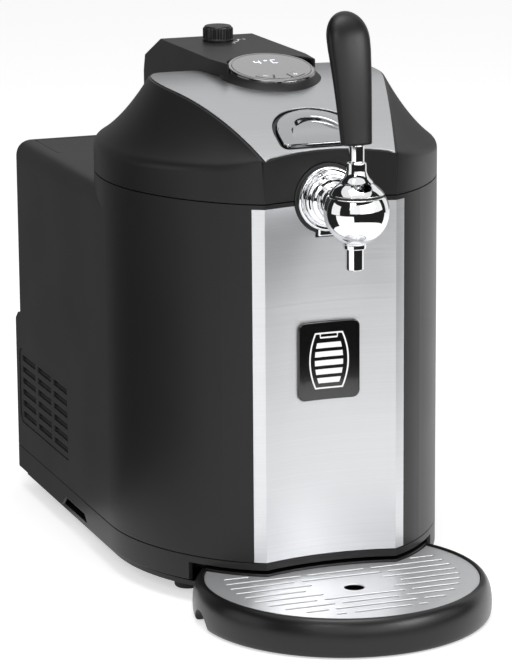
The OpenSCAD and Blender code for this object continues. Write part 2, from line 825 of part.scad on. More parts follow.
// A point of the oval by the direction of its normal, 0 at the front and 180 at the rear.
function oval_half(a, g) = a < tangent_a ? [(nose_r + g) * sin(a), -nose_c - (nose_r + g) * cos(a)]
    : a > 180 - tangent_a ? [(nose_r + g) * sin(a), nose_c - (nose_r + g) * cos(a)]
    : [half_w - side_r + (side_r + g) * sin(a), -(side_r + g) * cos(a)];
function mirror_x(p) = [-p[0], p[1]];
function oval_pt(a, g) = a <= 180 ? oval_half(a, g) : mirror_x(oval_half(360 - a, g));

crease_a = asin(crease_x / nose_r);
crown_a = 72;
// The crown outline: straight lines from the creases, tangent to the round part.
function crown_half(a, g) = let (from = [crease_x + g, -crease_y],
    to = [(crown_r + g) * sin(crown_a), -crown_y - (crown_r + g) * cos(crown_a)])
    a > crown_a ? [(crown_r + g) * sin(a), -crown_y - (crown_r + g) * cos(a)]
    : from + (to - from) * (a - crease_a) / (crown_a - crease_a);
function crown_pt(a, g) = a <= 180 ? crown_half(a, g) : mirror_x(crown_half(360 - a, g));

function front_arc(x, g) = [x, -hollow_y + sqrt(pow(hollow_r - g, 2) - x * x)];
function arch_at(y) = arch_z - arch_r + sqrt(arch_r * arch_r - pow(y - arch_y, 2));
function rim_at(a) = let (b = a <= 180 ? a : 360 - a, u = max(0, 1 - (b - crease_a) / 58))
    seam_z + rim_h + (rim_front_h - rim_h) * u * u;

front_n = 8;
around_n = 60;
flare_steps = [0, 0.15, 0.35, 0.55, 0.75, 0.9, 1];
function flare_rise(u) = 0.55 * u + 0.45 * u * u;

// Rings of the lid's loft: from the seam, up the rim, over the flare, then straight up past the arch.
function ring_pts(g, z_seam, u, top) = concat(
    [for (i = [0 : front_n]) let (p = front_arc(-crease_x + 2 * crease_x * i / front_n, g))
        [p[0], p[1], top ? seam_z + 2 * arch_h : u < 0 ? z_seam : seam_z + rim_front_h + g + 14 * u]],
    [for (i = [1 : around_n - 1]) let (a = crease_a + (360 - 2 * crease_a) * i / around_n,
        o = oval_pt(a, g), c = crown_pt(a, g), v = max(0, u), p = o + (c - o) * v,
        z1 = rim_at(a) + g, z2 = arch_at(c[1]) + g)
        [p[0], p[1], top ? seam_z + 2 * arch_h : u < 0 ? z_seam : z1 + (z2 - z1) * flare_rise(v)]]);

module lid_loft(g, z_seam) {
    m = front_n + around_n;
    rings = concat([ring_pts(g, z_seam, -1, false)], [for (u = flare_steps) ring_pts(g, z_seam, u, false)],
        [ring_pts(g, z_seam, 1, true)]);
    n = len(rings);
    pts = [for (r = rings, p = r) p];
    polyhedron(pts, concat(
        [[for (i = [0 : m - 1]) i]],
        [for (k = [0 : n - 2], i = [0 : m - 1]) let (j = (i + 1) % m) [k * m + i, (k + 1) * m + i, (k + 1) * m + j]],
        [for (k = [0 : n - 2], i = [0 : m - 1]) let (j = (i + 1) % m) [k * m + i, (k + 1) * m + j, k * m + j]],
        [[for (i = [m - 1 : -1 : 0]) (n - 1) * m + i]]));
}

module under_arch(drop) {
    rod_x(arch_r - drop, -body_w, body_w, arch_y, arch_z - arch_r, $fn = 360);
}

// Plan of the bridge, which narrows towards the display.
bridge_neck = display_r + 4.2;
bridge_taper = 32;
module bridge_plan(grow = 0) {
    w = bridge_w / 2 + grow;
    n = bridge_neck + grow;
    polygon([[-w, 2 * bridge_rear], [-w, bridge_taper - display_y], [-n, -display_y], [n, -display_y],
        [w, bridge_taper - display_y], [w, 2 * bridge_rear]]);
}

module bridge_slot(grow) {
    intersection() {
        block([-bridge_w, bridge_w], [-display_y, bridge_rear + grow + 20], [bridge_z - 4 - grow, 2 * seam_z]);
        along_z(0, 3 * seam_z) bridge_plan(grow);
    }
}

module release_plan(grow = 0) {
    r = release_r + grow;
    d = release_d - release_r;
    intersection() {
        union() {
            translate([0, -release_y + d]) circle(r);
            translate([-r, -release_y - grow]) square([2 * r, d + grow]);
        }
        translate([-r, -release_y - grow]) square([2 * r, release_d + 2 * grow]);
    }
}

module lid_shell() {
    color(black) placed() difference() {
        intersection() {
            lid_loft(0, seam_z + seam_gap);
            under_arch(plate_t + 0.1);
        }
        intersection() {
            lid_loft(-wall, seam_z - over);
            under_arch(plate_t + wall);
        }
        tap_opening(-body_d, -front_y + 20);
        bridge_slot(gap);
        display_cut(display_r + 2 + gap, -13 - gap, 60);
        along_z(seam_z, 2 * seam_z) release_plan(4);
    }
}

module crown_plan(grow = 0) {
    difference() {
        union() {
            translate([0, -crown_y]) circle(crown_r + grow);
            polygon(concat([for (s = [-1, 1]) let (p = crown_half(crease_a, grow)) [s * p[0], p[1] - 4]],
                [for (s = [1, -1]) let (p = crown_half(crown_a, grow)) [s * p[0], p[1]]]));
        }
        translate([0, -hollow_y]) circle(hollow_r - grow);
    }
}

module lid_plate() {
    color(steel) placed() difference() {
        intersection() {
            along_z(seam_z + rim_h, 2 * seam_z) crown_plan(-0.4);
            under_arch(0);
        }
        under_arch(plate_t);
        bridge_slot(gap);
        display_cut(display_r + 2 + gap, -13 - gap, 60);
        along_z(seam_z, 2 * seam_z) release_plan(1.4);
    }
}

liner_z = seam_z + 2.7;
cup_in = 12;             // step from the chamber's wall in to the lid's hollow
cup_h = 24;
cup_r = liner_r - cup_in;
module lid_liner() {
    color("#d9d9d6") placed() difference() {
        union() {
            along_z(liner_z, liner_z + 3) front_oval(-wall - 0.5);
            translate([0, 0, liner_z]) cylinder(r = cup_r + 2, h = cup_h);
            for (s = [-1, 1]) translate([s * (latch_x + 11), 0, 0])
                block([-3, 3], [-latch_y - 5, -latch_y + 5], [liner_z, latch_pivot_z + 5]);
        }
        translate([0, 0, liner_z - over]) cylinder(r = cup_r, h = cup_h - 2 + over);
        block([-tap_hole_r - 1, tap_hole_r + 1], [-body_d, -front_y + 20], [0, 2 * seam_z]);
        for (s = [-1, 1]) block([s * latch_x - 5, s * latch_x + 5], [-latch_edge - 17, -latch_edge + 4],
            [0, 2 * seam_z]);
        rod_x(latch_pin_r + 0.05, -body_w, body_w, -latch_y, latch_pivot_z);
    }
}

module lid_gasket() {
    color("#303033") placed() translate([0, 0, collar_top + 0.3]) difference() {
        cylinder(r = liner_r + 16, h = liner_z - collar_top - 0.5);
        translate([0, 0, -over]) cylinder(r = liner_r + 9, h = 10);
    }
}

bridge_ramp = [47, 19];  // the slope at the bridge's rear: length and drop
bridge_lip = [4, 14];    // the steeper facet below it: length and drop
module bridge_profile(inset = 0) {
    rear = bridge_rear - inset;
    polygon([[-display_y + inset, bridge_z], [rear, bridge_z],
        [rear, bridge_top - bridge_ramp[1] - bridge_lip[1]], [rear - bridge_lip[0], bridge_top - bridge_ramp[1] - inset],
        [bridge_rear - bridge_ramp[0] - inset / 2, bridge_top - inset], [-display_y + inset, bridge_top - inset]]);
}

module bridge_extrude(w) { rotate([90, 0, 90]) linear_extrude(w, center = true) children(); }

module display_cut(r, h0, h1) {
    translate([0, -display_y, seam_z + display_h]) rotate([display_tilt, 0, 0])
        translate([0, 0, h0]) cylinder(r = r, h = h1 - h0);
}

module bridge_cover() {
    color(black) placed() difference() {
        intersection() {
            bridge_extrude(bridge_w) bridge_profile();
            along_z(0, 2 * seam_z) bridge_plan();
        }
        intersection() {
            union() for (drop = [0, over]) translate([0, 0, -drop]) bridge_extrude(bridge_w - 5) bridge_profile(2.5);
            along_z(0, 2 * seam_z) bridge_plan(-2.5);
        }
        display_cut(display_r + 2.4, -14, 40);
        translate([0, knob_y, bridge_top - 5]) cylinder(r = spindle_r + 1.3, h = 10);
    }
}

module bridge_floor() {
    color(dark) placed() intersection() {
        block([-bridge_w, bridge_w], [-display_y, bridge_rear], [bridge_z - 4, bridge_z - gap]);
        along_z(0, 2 * seam_z) bridge_plan();
    }
}

glass_floor = 4;
module display_ring() {
    color("#0f0f10") placed() difference() {
        display_cut(display_r + 2, -13, 0.2);
        display_cut(display_r - 1.6, -glass_floor, 10);
        display_cut(display_r - 6, -14, 10);
    }
}

key_r = [display_r - 14, display_r - 4.4];      // inner and outer radius of the row of keys
key_spread = 31;
key_side = 0.6;          // half the space between two keys
// One key: a piece of a ring, cut along parallels to its two radii.
module key_plan(i, grow = 0) {
    far = 2 * display_r;
    half = key_spread / 2;
    rotate(i * key_spread) intersection() {
        difference() {
            circle(key_r[1] + grow);
            circle(key_r[0] - grow);
        }
        translate([0, -(key_side - grow) / sin(half)])
            polygon([[0, 0], [-far * tan(half), -far], [far * tan(half), -far]]);
    }
}

module display_glass() {
    color("#101114") placed() translate([0, -display_y, seam_z + display_h]) rotate([display_tilt, 0, 0])
        translate([0, 0, gap - glass_floor]) difference() {
            cylinder(r = display_r - 1.8, h = glass_floor - gap);
            for (i = [-1 : 1]) translate([0, 0, -over]) linear_extrude(10) key_plan(i, 0.3);
        }
}

key_low = key_travel + 0.6 - glass_floor;     // room for the whole travel above the ring's floor
module key(i) {
    color("#17181b") placed() translate([0, -display_y, seam_z + display_h]) rotate([display_tilt, 0, 0])
        translate([0, 0, key_low]) linear_extrude(0.3 - key_low) key_plan(i);
}
module key_minus() { key(-1); }
module key_set() { key(0); }
module key_plus() { key(1); }

valve_r = 15;            // the regulator's upright body, and the round socket in front of it
valve_h = bridge_top - bridge_z - 6;
socket_r = 11;
cell_r = 9;              // the gas cell that screws into the socket
cell_l = 84;
cell_neck = 4;
cell_z = bridge_z + 2 * cell_r;
spindle_r = 3;
module gas_regulator() {
    color("#b58a3c") placed() difference() {
        union() {
            translate([0, knob_y, bridge_z + 0.1]) cylinder(r = valve_r, h = valve_h);
            rod_y(socket_r, knob_y - valve_r - socket_r, knob_y, z = cell_z);
        }
        rod_y(cell_neck + 1, knob_y - valve_r - socket_r - over, knob_y - valve_r + over, z = cell_z);
        translate([0, knob_y, cell_z + 2]) cylinder(r = spindle_r + 0.05, h = valve_h);
    }
}

module gas_cartridge() {
    color(steel) placed() translate([0, -valve_r - over + knob_y, cell_z]) rotate([90, 0, 0])
        rotate_extrude() polygon([[0, 0], [cell_neck, 0], [cell_neck, 3.5 * cell_neck], [cell_r, 5.5 * cell_neck],
            [cell_r, cell_l - 2 * cell_neck], [cell_r * 2 / 3, cell_l - cell_neck / 2], [0, cell_l]]);
}

knob_ribs = 24;
spindle_l = 18;
module regulator_knob() {
    color("#1a1a1b") placed() translate([0, knob_y, bridge_top + 0.3]) {
        difference() {
            union() {
                cylinder(r = knob_r - 0.6, h = knob_h - 1.5);
                translate([0, 0, knob_h - 1.5]) cylinder(r1 = knob_r - 0.6, r2 = knob_r - 1.8, h = 1.5);
                for (i = [0 : knob_ribs - 1]) rotate(i * 360 / knob_ribs)
                    translate([knob_r - 1.6, -0.7, 0.8]) cube([1.6, 1.4, knob_h - 3]);
            }
            translate([knob_r - 7, -0.6, knob_h - 0.6]) cube([5, 1.2, 1]);
        }
        translate([0, 0, -spindle_l]) cylinder(r = spindle_r, h = spindle_l + over);
    }
}

button_t = 4.5;
release_floor = arch_at(-release_y) - button_t - release_travel - 2;
module release_well() {
    color("#121213") placed() difference() {
        intersection() {
            along_z(release_floor - wall, 2 * seam_z) release_plan(3.8);
            under_arch(plate_t + 0.2);
        }
        along_z(release_floor, 2 * seam_z) release_plan(0.8);
    }
}

module release_button() {
    color(chrome) placed() difference() {
        intersection() {
            along_z(seam_z, 2 * seam_z) release_plan();
            under_arch(-0.8);
        }
        under_arch(button_t);
        intersection() {
            along_z(seam_z, 2 * seam_z) intersection() {
                translate([0, -release_y + 16]) circle(18);
                translate([-30, -release_y + 19]) square([60, 40]);
            }
            difference() {
                under_arch(-5);
                under_arch(2);
            }
        }
    }
}

module latch_hook() {
    color(steel) placed() {
        rod_x(latch_pin_r, -latch_x - 15, latch_x + 15, -latch_y, latch_pivot_z);
        for (s = [-1, 1]) {
            block([s * latch_x - 3, s * latch_x + 3], [-latch_y - 4, -latch_y + 3], [collar_top - 11, latch_pivot_z]);
            block([s * latch_x - 3, s * latch_x + 3], [-latch_y - 4, -latch_edge - 0.5],
                [collar_top - 11, collar_top - 7]);
        }
    }
}

// ---- drip tray ---------------------------------------------------------------------------------------------

module tray_front(y, z0, z1) { block([-body_w, body_w], [-2 * body_d, -y], [z0, z1]); }

rim_w = 4.5;
ledge = 5.5;
// Outline of the plate's seat: round, and kept in front of the body so that the plate lifts off.
module seat_plan(inset = 0) {
    difference() {
        translate([0, -tray_y]) circle(grid_r - inset);
        front_oval(0.6 + inset);
        translate([-body_w, -tray_rear - 4 - inset]) square(2 * body_w);
    }
}
floor_t = 4;
grid_r = tray_r - tray_draft - rim_w;
grid_z = tray_top - 2 - grid_t;
basin_r = grid_r - ledge;
module drip_tray() {
    color(black) placed() difference() {
        intersection() {
            translate([0, -tray_y, tray_lift]) cylinder(r1 = tray_r, r2 = tray_r - tray_draft, h = tray_top - tray_lift);
            tray_front(tray_rear, 0, tray_top + over);
        }
        along_z(grid_z, tray_top + over) seat_plan();
        along_z(tray_lift + floor_t, tray_top) seat_plan(ledge);
        // hollow under the rim
        intersection() {
            translate([0, -tray_y, 0]) difference() {
                cylinder(r1 = tray_r - wall, r2 = tray_r - tray_draft - wall, h = grid_z - 3);
                translate([0, 0, -over]) cylinder(r = basin_r + wall, h = grid_z + 2 * over);
            }
            tray_front(tray_rear + wall, -over, grid_z - 3);
        }
        for (s = [-1, 1]) rod_x(16, s > 0 ? basin_r + wall + 0.5 : -tray_r - over,
            s > 0 ? tray_r + over : -basin_r - wall - 0.5, -tray_y + 4, -2);
    }
}

drain_y = 198;
drain_r = 8;
slot_rows = floor((2 * grid_r - 40) / slot_pitch);
// One rounded slot from x0 to x1.
module drip_slot(x0, x1) {
    if (x1 - x0 > 2 * slot_w) {
        translate([x0 + slot_w / 2, -slot_w / 2]) square([x1 - x0 - slot_w, slot_w]);
        for (x = [x0 + slot_w / 2, x1 - slot_w / 2]) translate([x, 0]) circle(slot_w / 2, $fn = 24);
    }
}

module drip_plate() {
    color(steel) placed() difference() {
        along_z(grid_z + 0.1, grid_z + 0.1 + grid_t) seat_plan(0.5);
        along_z(grid_z - over, tray_top + over) for (k = [0 : slot_rows - 1]) {
            y = -tray_y - grid_r + 24 + k * slot_pitch;
            dy = y + tray_y;
            reach = sqrt(pow(grid_r - 16, 2) - dy * dy);
            near = abs(y + drain_y) < drain_r + slot_pitch / 2 + 3;
            split = k % 2 == 0 ? 24 : 34;
            // the rows beside the body start beyond its outline
            whole = y < -crease_y - 8;
            x0 = whole ? split + 6 : sqrt(nose_r * nose_r - pow(y + nose_c, 2)) + 8;
            if (y < -tray_rear - 12) translate([0, y]) {
                drip_slot(-reach, -x0);
                drip_slot(x0, reach);
                if (whole && !near && reach > split) drip_slot(-split, split);
            }
        }
        translate([0, -drain_y, 0]) cylinder(r = drain_r, h = 60);
        translate([0, -drain_y, grid_z + 0.1 + grid_t - 0.8]) cylinder(r1 = drain_r, r2 = drain_r + 3, h = 0.9);
    }
}

base_pan();
base_skirt();
rubber_feet();
base_screws();
housing_shell();
rear_top_cover();
side_grille_left();
side_grille_right();
rear_cover();
cover_screws();
power_inlet();
front_panel();
badge_plate();
chamber_liner();
chamber_insulation();
chamber_collar();
cold_block();
peltier_module();
heat_sink();
fan_housing();
fan_rotor();
power_supply();
control_board();
hinge_brackets();
hinge_pin();
tap_mount();
tap_flange();
tap_shank();
tap_body();
tap_cap();
tap_nozzle();
lever_stem();
tap_handle();
lid_shell();
lid_plate();
lid_liner();
lid_gasket();
hinge_arm();
bridge_cover();
bridge_floor();
display_ring();
display_glass();
key_minus();
key_set();
key_plus();
gas_regulator();
gas_cartridge();
regulator_knob();
release_well();
release_button();
latch_hook();
drip_tray();
drip_plate();
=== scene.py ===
# %% [markdown]
# # A countertop dispenser for a party keg
#
# The real object is a black moulded housing with a hollow brushed steel front, a hinged lid whose steel
# top follows one long arch, a chrome ball tap with a black paddle, and a drip tray that slides out.
# The sizes come from a CAD model that is already in place, so this script only dresses it: each cell
# adds one finish or one piece, and every new piece is told which moving body it belongs to.

# %% Load the CAD model and group its parts by moving body
import json
from math import acos, asin, atan2, copysign, cos, degrees, hypot, pi, radians, sin, sqrt, tan

import bmesh
import bpy
from mathutils import Matrix, Vector

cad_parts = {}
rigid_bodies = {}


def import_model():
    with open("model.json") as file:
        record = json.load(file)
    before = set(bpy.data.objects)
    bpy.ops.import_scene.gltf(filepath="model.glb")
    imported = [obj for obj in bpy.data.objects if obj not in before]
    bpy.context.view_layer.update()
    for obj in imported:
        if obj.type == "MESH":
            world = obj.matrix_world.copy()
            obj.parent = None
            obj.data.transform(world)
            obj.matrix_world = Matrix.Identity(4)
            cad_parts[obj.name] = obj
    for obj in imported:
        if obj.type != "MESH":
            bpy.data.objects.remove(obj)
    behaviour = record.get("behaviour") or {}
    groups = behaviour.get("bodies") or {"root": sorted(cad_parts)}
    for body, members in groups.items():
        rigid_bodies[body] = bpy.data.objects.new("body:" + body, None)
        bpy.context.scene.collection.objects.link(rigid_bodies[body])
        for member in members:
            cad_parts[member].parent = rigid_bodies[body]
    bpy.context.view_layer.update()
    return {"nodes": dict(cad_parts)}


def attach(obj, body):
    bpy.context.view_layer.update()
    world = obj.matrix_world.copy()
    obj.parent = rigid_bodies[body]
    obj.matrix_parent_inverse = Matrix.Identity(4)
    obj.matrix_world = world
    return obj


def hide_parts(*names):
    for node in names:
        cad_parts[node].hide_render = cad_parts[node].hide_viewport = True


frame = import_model()
cad = frame["nodes"]
scene = bpy.context.scene

# %% [markdown]
# New pieces have to sit exactly on the CAD ones, so the sizes that they share are named here once, in
# millimetres as on a drawing. The front of the object looks along -Y and the drawing's zero is the axis
# of the oval body; everything is moved back a little at the end, so that the depth is centred.

# %% Sizes shared with the CAD model
MM = 0.001
MIDDLE = 5
SEAM_Z = 329
BODY_D, HALF_W, NOSE_R, NOSE_C, SIDE_R = 326, 138, 120, 43, 180.36
TANGENT_A = degrees(atan2(SIDE_R - HALF_W, NOSE_C))
CREASE_X = 55.2
CREASE_Y = NOSE_C + sqrt(NOSE_R**2 - CREASE_X**2)
CREASE_A = degrees(asin(CREASE_X / NOSE_R))
HOLLOW_D = 8
FRONT_Y = CREASE_Y - HOLLOW_D
HOLLOW_R = (CREASE_X**2 + HOLLOW_D**2) / (2 * HOLLOW_D)
HOLLOW_Y = FRONT_Y + HOLLOW_R
ARCH_R, ARCH_Y, ARCH_Z = 308, 10, SEAM_Z + 79.5
RIM_H, RIM_FRONT_H, RIM_RISE_A = 25, 35, 58
CROWN_R, CROWN_Y, CROWN_A = 96, 8, 72
TAP_Z = SEAM_Z + 1
BALL_Y, BALL_R = FRONT_Y + 61.45, 25.4
DISPLAY_Y, DISPLAY_Z, DISPLAY_R, DISPLAY_TILT = -18, SEAM_Z + 87, 34, 10.5
BRIDGE_TOP, BRIDGE_W = SEAM_Z + 91.5, 84
KNOB_Y, KNOB_R, KNOB_H = 112, 13, 13
RELEASE_Y, RELEASE_R, RELEASE_D = CREASE_Y - 13.55, 33, 46
BADGE_Z = SEAM_Z - 129
TRAY_Y, TRAY_REAR, TRAY_TOP, GRID_R = 172, 104, 31, 110
HANDLE_Z, HANDLE_L, HANDLE_W, HANDLE_T, HANDLE_LEAN = TAP_Z + 52, 99, 34, 22, 9
TAU = 2 * pi
print("crease at", round(CREASE_Y, 2), "hollow radius", round(HOLLOW_R, 1))

# %% [markdown]
# A few helpers shorten what follows. One puts new data into the scene as an object; the others write a
# shift, a turn, a row of numbers and a point on a circle.

# %% Helpers
def linked(name, data):
    """A new object in the scene. A bmesh becomes a mesh and is freed."""
    if isinstance(data, bmesh.types.BMesh):
        mesh = bpy.data.meshes.new(name)
        data.to_mesh(mesh)
        data.free()
        data = mesh
    made = bpy.data.objects.new(name, data)
    scene.collection.objects.link(made)
    return made


def at(x=0, y=0, z=0):
    return Matrix.Translation((x, y, z))


def spun(angle, axis):
    return Matrix.Rotation(radians(angle), 4, axis)


def spread(start, length, count):
    """count + 1 numbers from start over the length."""
    return [start + length * k / count for k in range(count + 1)]


def polar(r, a):
    return r * cos(a), r * sin(a)


# %% [markdown]
# The photograph was taken with a long lens from the front left and a little above. The camera below
# has that place, direction and tilt. A long lens keeps the upright lines almost parallel, which is why
# product photographers use one.

# %% Camera
CAM_PLACE = (-0.90294, -2.44941, 0.80708)
CAM_SIGHT = (0.33318, 0.91429, -0.23039)
CAM_ROLL, CAM_LENS, CAM_SENSOR = 0.426, 173.13, 36
sight = Vector(CAM_SIGHT).normalized()
level = sight.cross(Vector((0, 0, 1))).normalized()
across = Matrix.Rotation(radians(CAM_ROLL), 3, sight) @ level
upward = across.cross(sight)
camera = linked("camera", bpy.data.cameras.new("camera"))
camera.data.sensor_width, camera.data.lens, camera.data.clip_end = CAM_SENSOR, CAM_LENS, 50
camera.matrix_world = at(*CAM_PLACE) @ Matrix((across, upward, -sight)).transposed().to_4x4()
scene.camera = camera
print("camera at", CAM_PLACE, "lens", CAM_LENS)

# %% [markdown]
# Light, floor and finishes are made from nodes. Writing node trees link by link is long, so one small
# class wraps an output socket and lets Python's own operators add the Math nodes: `1 - mask * 0.4` reads
# as it looks. A second class looks after a whole tree and adds any other node in one line.

# %% Shader maths in Python
class Wire:
    """One output socket. Arithmetic on it adds Math nodes."""

    def __init__(self, tree, socket):
        self.tree, self.socket = tree, socket

    def maths(self, operation, first, second=0.0):
        return self.tree.node("ShaderNodeMath", {"operation": operation}, {0: first, 1: second})

    def __add__(self, other):
        return self.maths("ADD", self, other)

    def __radd__(self, other):
        return self.maths("ADD", other, self)

    def __sub__(self, other):
        return self.maths("SUBTRACT", self, other)

    def __rsub__(self, other):
        return self.maths("SUBTRACT", other, self)

    def __mul__(self, other):
        return self.maths("MULTIPLY", self, other)

    def __rmul__(self, other):
        return self.maths("MULTIPLY", other, self)

    def __truediv__(self, other):
        return self.maths("DIVIDE", self, other)

    def clamped(self):
        return self.maths("MINIMUM", self.maths("MAXIMUM", self, 0.0), 1.0)


class Web:
    """A node tree. One method adds any node: its settings first, then values or links of its sockets."""

    def __init__(self, tree):
        self.tree = tree

    def node(self, kind, settings=None, values=None, output=0):
        made = self.tree.nodes.new(kind)
        for name, value in (settings or {}).items():
            setattr(made, name, value)
        for socket, value in (values or {}).items():
            self.put(value, made.inputs[socket])
        return Wire(self, made.outputs[output])

    def put(self, value, socket):
        if isinstance(value, Wire):
            self.tree.links.new(value.socket, socket)
        else:
            socket.default_value = value


# %% [markdown]
# The product stands on a white table in front of white paper, lit by large soft lamps. Light Path lets
# camera and mirror rays see a pure white background while the light stays modest, so that the black
# plastic keeps its depth and the shadow stays on the table. Chrome needs something to mirror: a dark
# wall with bright screens stands round the front, outside the view, and the table is dark further off,
# as in a studio. Only mirror rays see them; the soft light comes from the lamps.

# %% Floor, background and lamps
FLOOR_GLOW, WORLD_LEVEL, FLOOR_HALF = 0.5, 0.5, 5
LAMPS = [  # name, place, width and height in metres, watts
    ("key light left", (-1.5, -2.3, 1.5), (0.9, 1.5), 30),
    ("soft box right", (1.2, -1.75, 1.15), (1.0, 0.5), 14),
    ("top light", (-0.1, -0.45, 2.6), (1.6, 1.0), 24),
]
SCREENS = [  # name, from and to in degrees right of the front, radii in metres, heights, brightness
    ("dark wall", -172, 100, (2.8, 2.8), (0, 3.6), 0.02),
    ("screen front left", -45, -8, (2.2, 2.2), (0.42, 1.75), 1.15),
    ("screen front", -8, 42, (2.2, 2.2), (0.42, 1.75), 2.3),
    ("screen front right", 42, 82, (2.2, 2.2), (0.42, 1.75), 1.15),
    ("screen left", -119, -83, (2.2, 2.2), (0.1, 1.2), 1.1),
    ("grey wall back", 128, 218, (2.4, 2.4), (0, 1.25), 0.25),
    ("dark table front", -32, 92, (0.62, 2.8), (0.001, 0.001), 0.02),
    ("dark table left", -150, -98, (0.45, 2.8), (0.001, 0.001), 0.02),
    ("grey table left", -176, -150, (0.45, 2.8), (0.001, 0.001), 0.25),
]
BALL_AT = Vector((0, -0.25, 0))
AIM = Vector((0, 0, 0.25))


def screen(name, start, stop, radii, heights):
    """A curved screen or a sector of the table, round the tap."""
    count = max(2, round((stop - start) / 4))
    rows = []
    for radius, height in zip(radii, heights):
        for a in spread(start, stop - start, count):
            x, y = polar(radius, radians(a))
            rows.append(BALL_AT + Vector((y, -x, height)))
    faces = [(k, k + 1, count + 2 + k, count + 1 + k) for k in range(count)]
    mesh = bpy.data.meshes.new(name)
    mesh.from_pydata(rows, [], faces)
    return linked(name, mesh)


def bare(name):
    """A material that is only an output, its tree, and the output's socket."""
    made = bpy.data.materials.new(name)
    made.use_nodes = True
    made.node_tree.nodes.clear()
    end = made.node_tree.nodes.new("ShaderNodeOutputMaterial")
    return made, Web(made.node_tree), end.inputs["Surface"]


def lit(web, rays, low, high):
    """A strength that is `high` for the rays named and `low` for all others."""
    seen, *others = (web.node("ShaderNodeLightPath", output=f"Is {ray} Ray") for ray in rays)
    for other in others:
        seen = seen.maths("MAXIMUM", seen, other)
    return web.node("ShaderNodeMapRange", values={"Value": seen, "To Min": low, "To Max": high})


floor_mesh = bpy.data.meshes.new("floor")
floor_mesh.from_pydata([(sx * FLOOR_HALF, sy * FLOOR_HALF, 0) for sx, sy in (
    (-1, -1), (1, -1), (1, 1), (-1, 1))], [], [(0, 1, 2, 3)])
floor = linked("floor", floor_mesh)
table, web, surface = bare("white table")
paper = web.node("ShaderNodeBsdfDiffuse", values={"Color": (0.8, 0.8, 0.8, 1)})
glow = web.node("ShaderNodeEmission", values={"Strength": lit(web, ("Camera", "Glossy"), 0, FLOOR_GLOW)})
web.put(web.node("ShaderNodeAddShader", values={0: paper, 1: glow}), surface)
floor_mesh.materials.append(table)

scene.world = bpy.data.worlds.new("studio")
scene.world.use_nodes = True
web = Web(scene.world.node_tree)
backdrop = web.tree.nodes["Background"].inputs
backdrop["Color"].default_value = (1, 1, 1, 1)
web.put(lit(web, ("Camera", "Glossy", "Transmission"), WORLD_LEVEL, 1), backdrop["Strength"])
scene.view_settings.view_transform = "Standard"

for name, place, size, watts in LAMPS:
    lamp = bpy.data.lights.new(name, "AREA")
    lamp.shape, lamp.size, lamp.size_y, lamp.energy = "RECTANGLE", size[0], size[1], watts
    made = linked(name, lamp)
    made.matrix_world = at(*place) @ (AIM - Vector(place)).to_track_quat("-Z", "Y").to_matrix().to_4x4()
    made.visible_camera = False

for name, start, stop, radii, heights, level in SCREENS:
    hung = screen(name, start, stop, radii, heights)
    cloth, web, surface = bare(name)
    web.put(web.node("ShaderNodeEmission", values={"Strength": level}), surface)
    hung.data.materials.append(cloth)
    hung.visible_camera = hung.visible_diffuse = hung.visible_shadow = hung.visible_transmission = False
print("lamps:", len(LAMPS), "screens:", len(SCREENS))

# %% [markdown]
# A finish is one Principled shader. What is the same all over goes straight on its socket. What varies,
# such as grain or smudges, is a noise in Object coordinates, so that it has a real size in metres and
# stays on the piece when the piece moves.

# %% One finish
def linear(hexed):
    """The colour as it looks on a screen, turned into the light that the shader works with."""
    parts = [int(hexed[i:i + 2], 16) / 255 for i in (1, 3, 5)]
    return tuple(p / 12.92 if p <= 0.04045 else ((p + 0.055) / 1.055) ** 2.4 for p in parts)


class Finish(Web):
    def __init__(self, name, colour, **fixed):
        self.material = bpy.data.materials.new(name)
        self.material.use_nodes = True
        super().__init__(self.material.node_tree)
        self.shader = self.tree.nodes["Principled BSDF"]
        self.colour = linear(colour)
        self.shader.inputs["Base Color"].default_value = (*self.colour, 1)
        for socket, value in fixed.items():
            self.shader.inputs[socket.replace("_", " ")].default_value = value

    def noise(self, scale, stretch=(1, 1, 1), detail=2.0, rough=0.5):
        """Noise from 0 to 1, with about `scale` blotches to the metre."""
        where = self.node("ShaderNodeTexCoord", output="Object")
        where = self.node("ShaderNodeMapping", values={"Vector": where, "Scale": stretch})
        return self.node("ShaderNodeTexNoise", values={
            "Vector": where, "Scale": scale, "Detail": detail, "Roughness": rough})

    def shade(self, share, darker, lighter):
        """The finish's own colour, times a factor that runs from darker to lighter."""
        dark, light = ((*(min(1, c * f) for c in self.colour), 1) for f in (darker, lighter))
        colour = self.node("ShaderNodeMix", {"data_type": "RGBA"}, {0: share, 6: dark, 7: light}, output=2)
        self.put(colour, self.shader.inputs["Base Color"])
        return self

    def feed(self, **wires):
        for socket, wire in wires.items():
            self.put(wire, self.shader.inputs[socket.replace("_", " ")])
        return self

    def bump(self, height, depth):
        """Fine relief: a height from 0 to 1 stands for `depth` metres."""
        relief = self.node("ShaderNodeBump", values={"Height": height, "Distance": depth, "Strength": 1.0})
        self.put(relief, self.shader.inputs["Normal"])
        return self


# %% [markdown]
# The housing, the lid and the tray are moulded in black plastic with a fine satin texture and broad soft
# highlights. The grain is a fine bump that only shows close up; a slow, weak noise on the roughness
# gives the uneven sheen that a large moulding has.

# %% Black plastics
def moulded(name, colour, roughness, grain=9000, depth=0.000012, **fixed):
    made = Finish(name, colour, **fixed)
    sheen = made.noise(14, detail=1.0)
    fine = made.noise(grain, detail=1.0)
    made.shade(made.noise(5, detail=1.0), 0.9, 1.12)
    made.feed(Roughness=sheen * 0.08 + (roughness - 0.04))
    return made.bump(fine, depth)


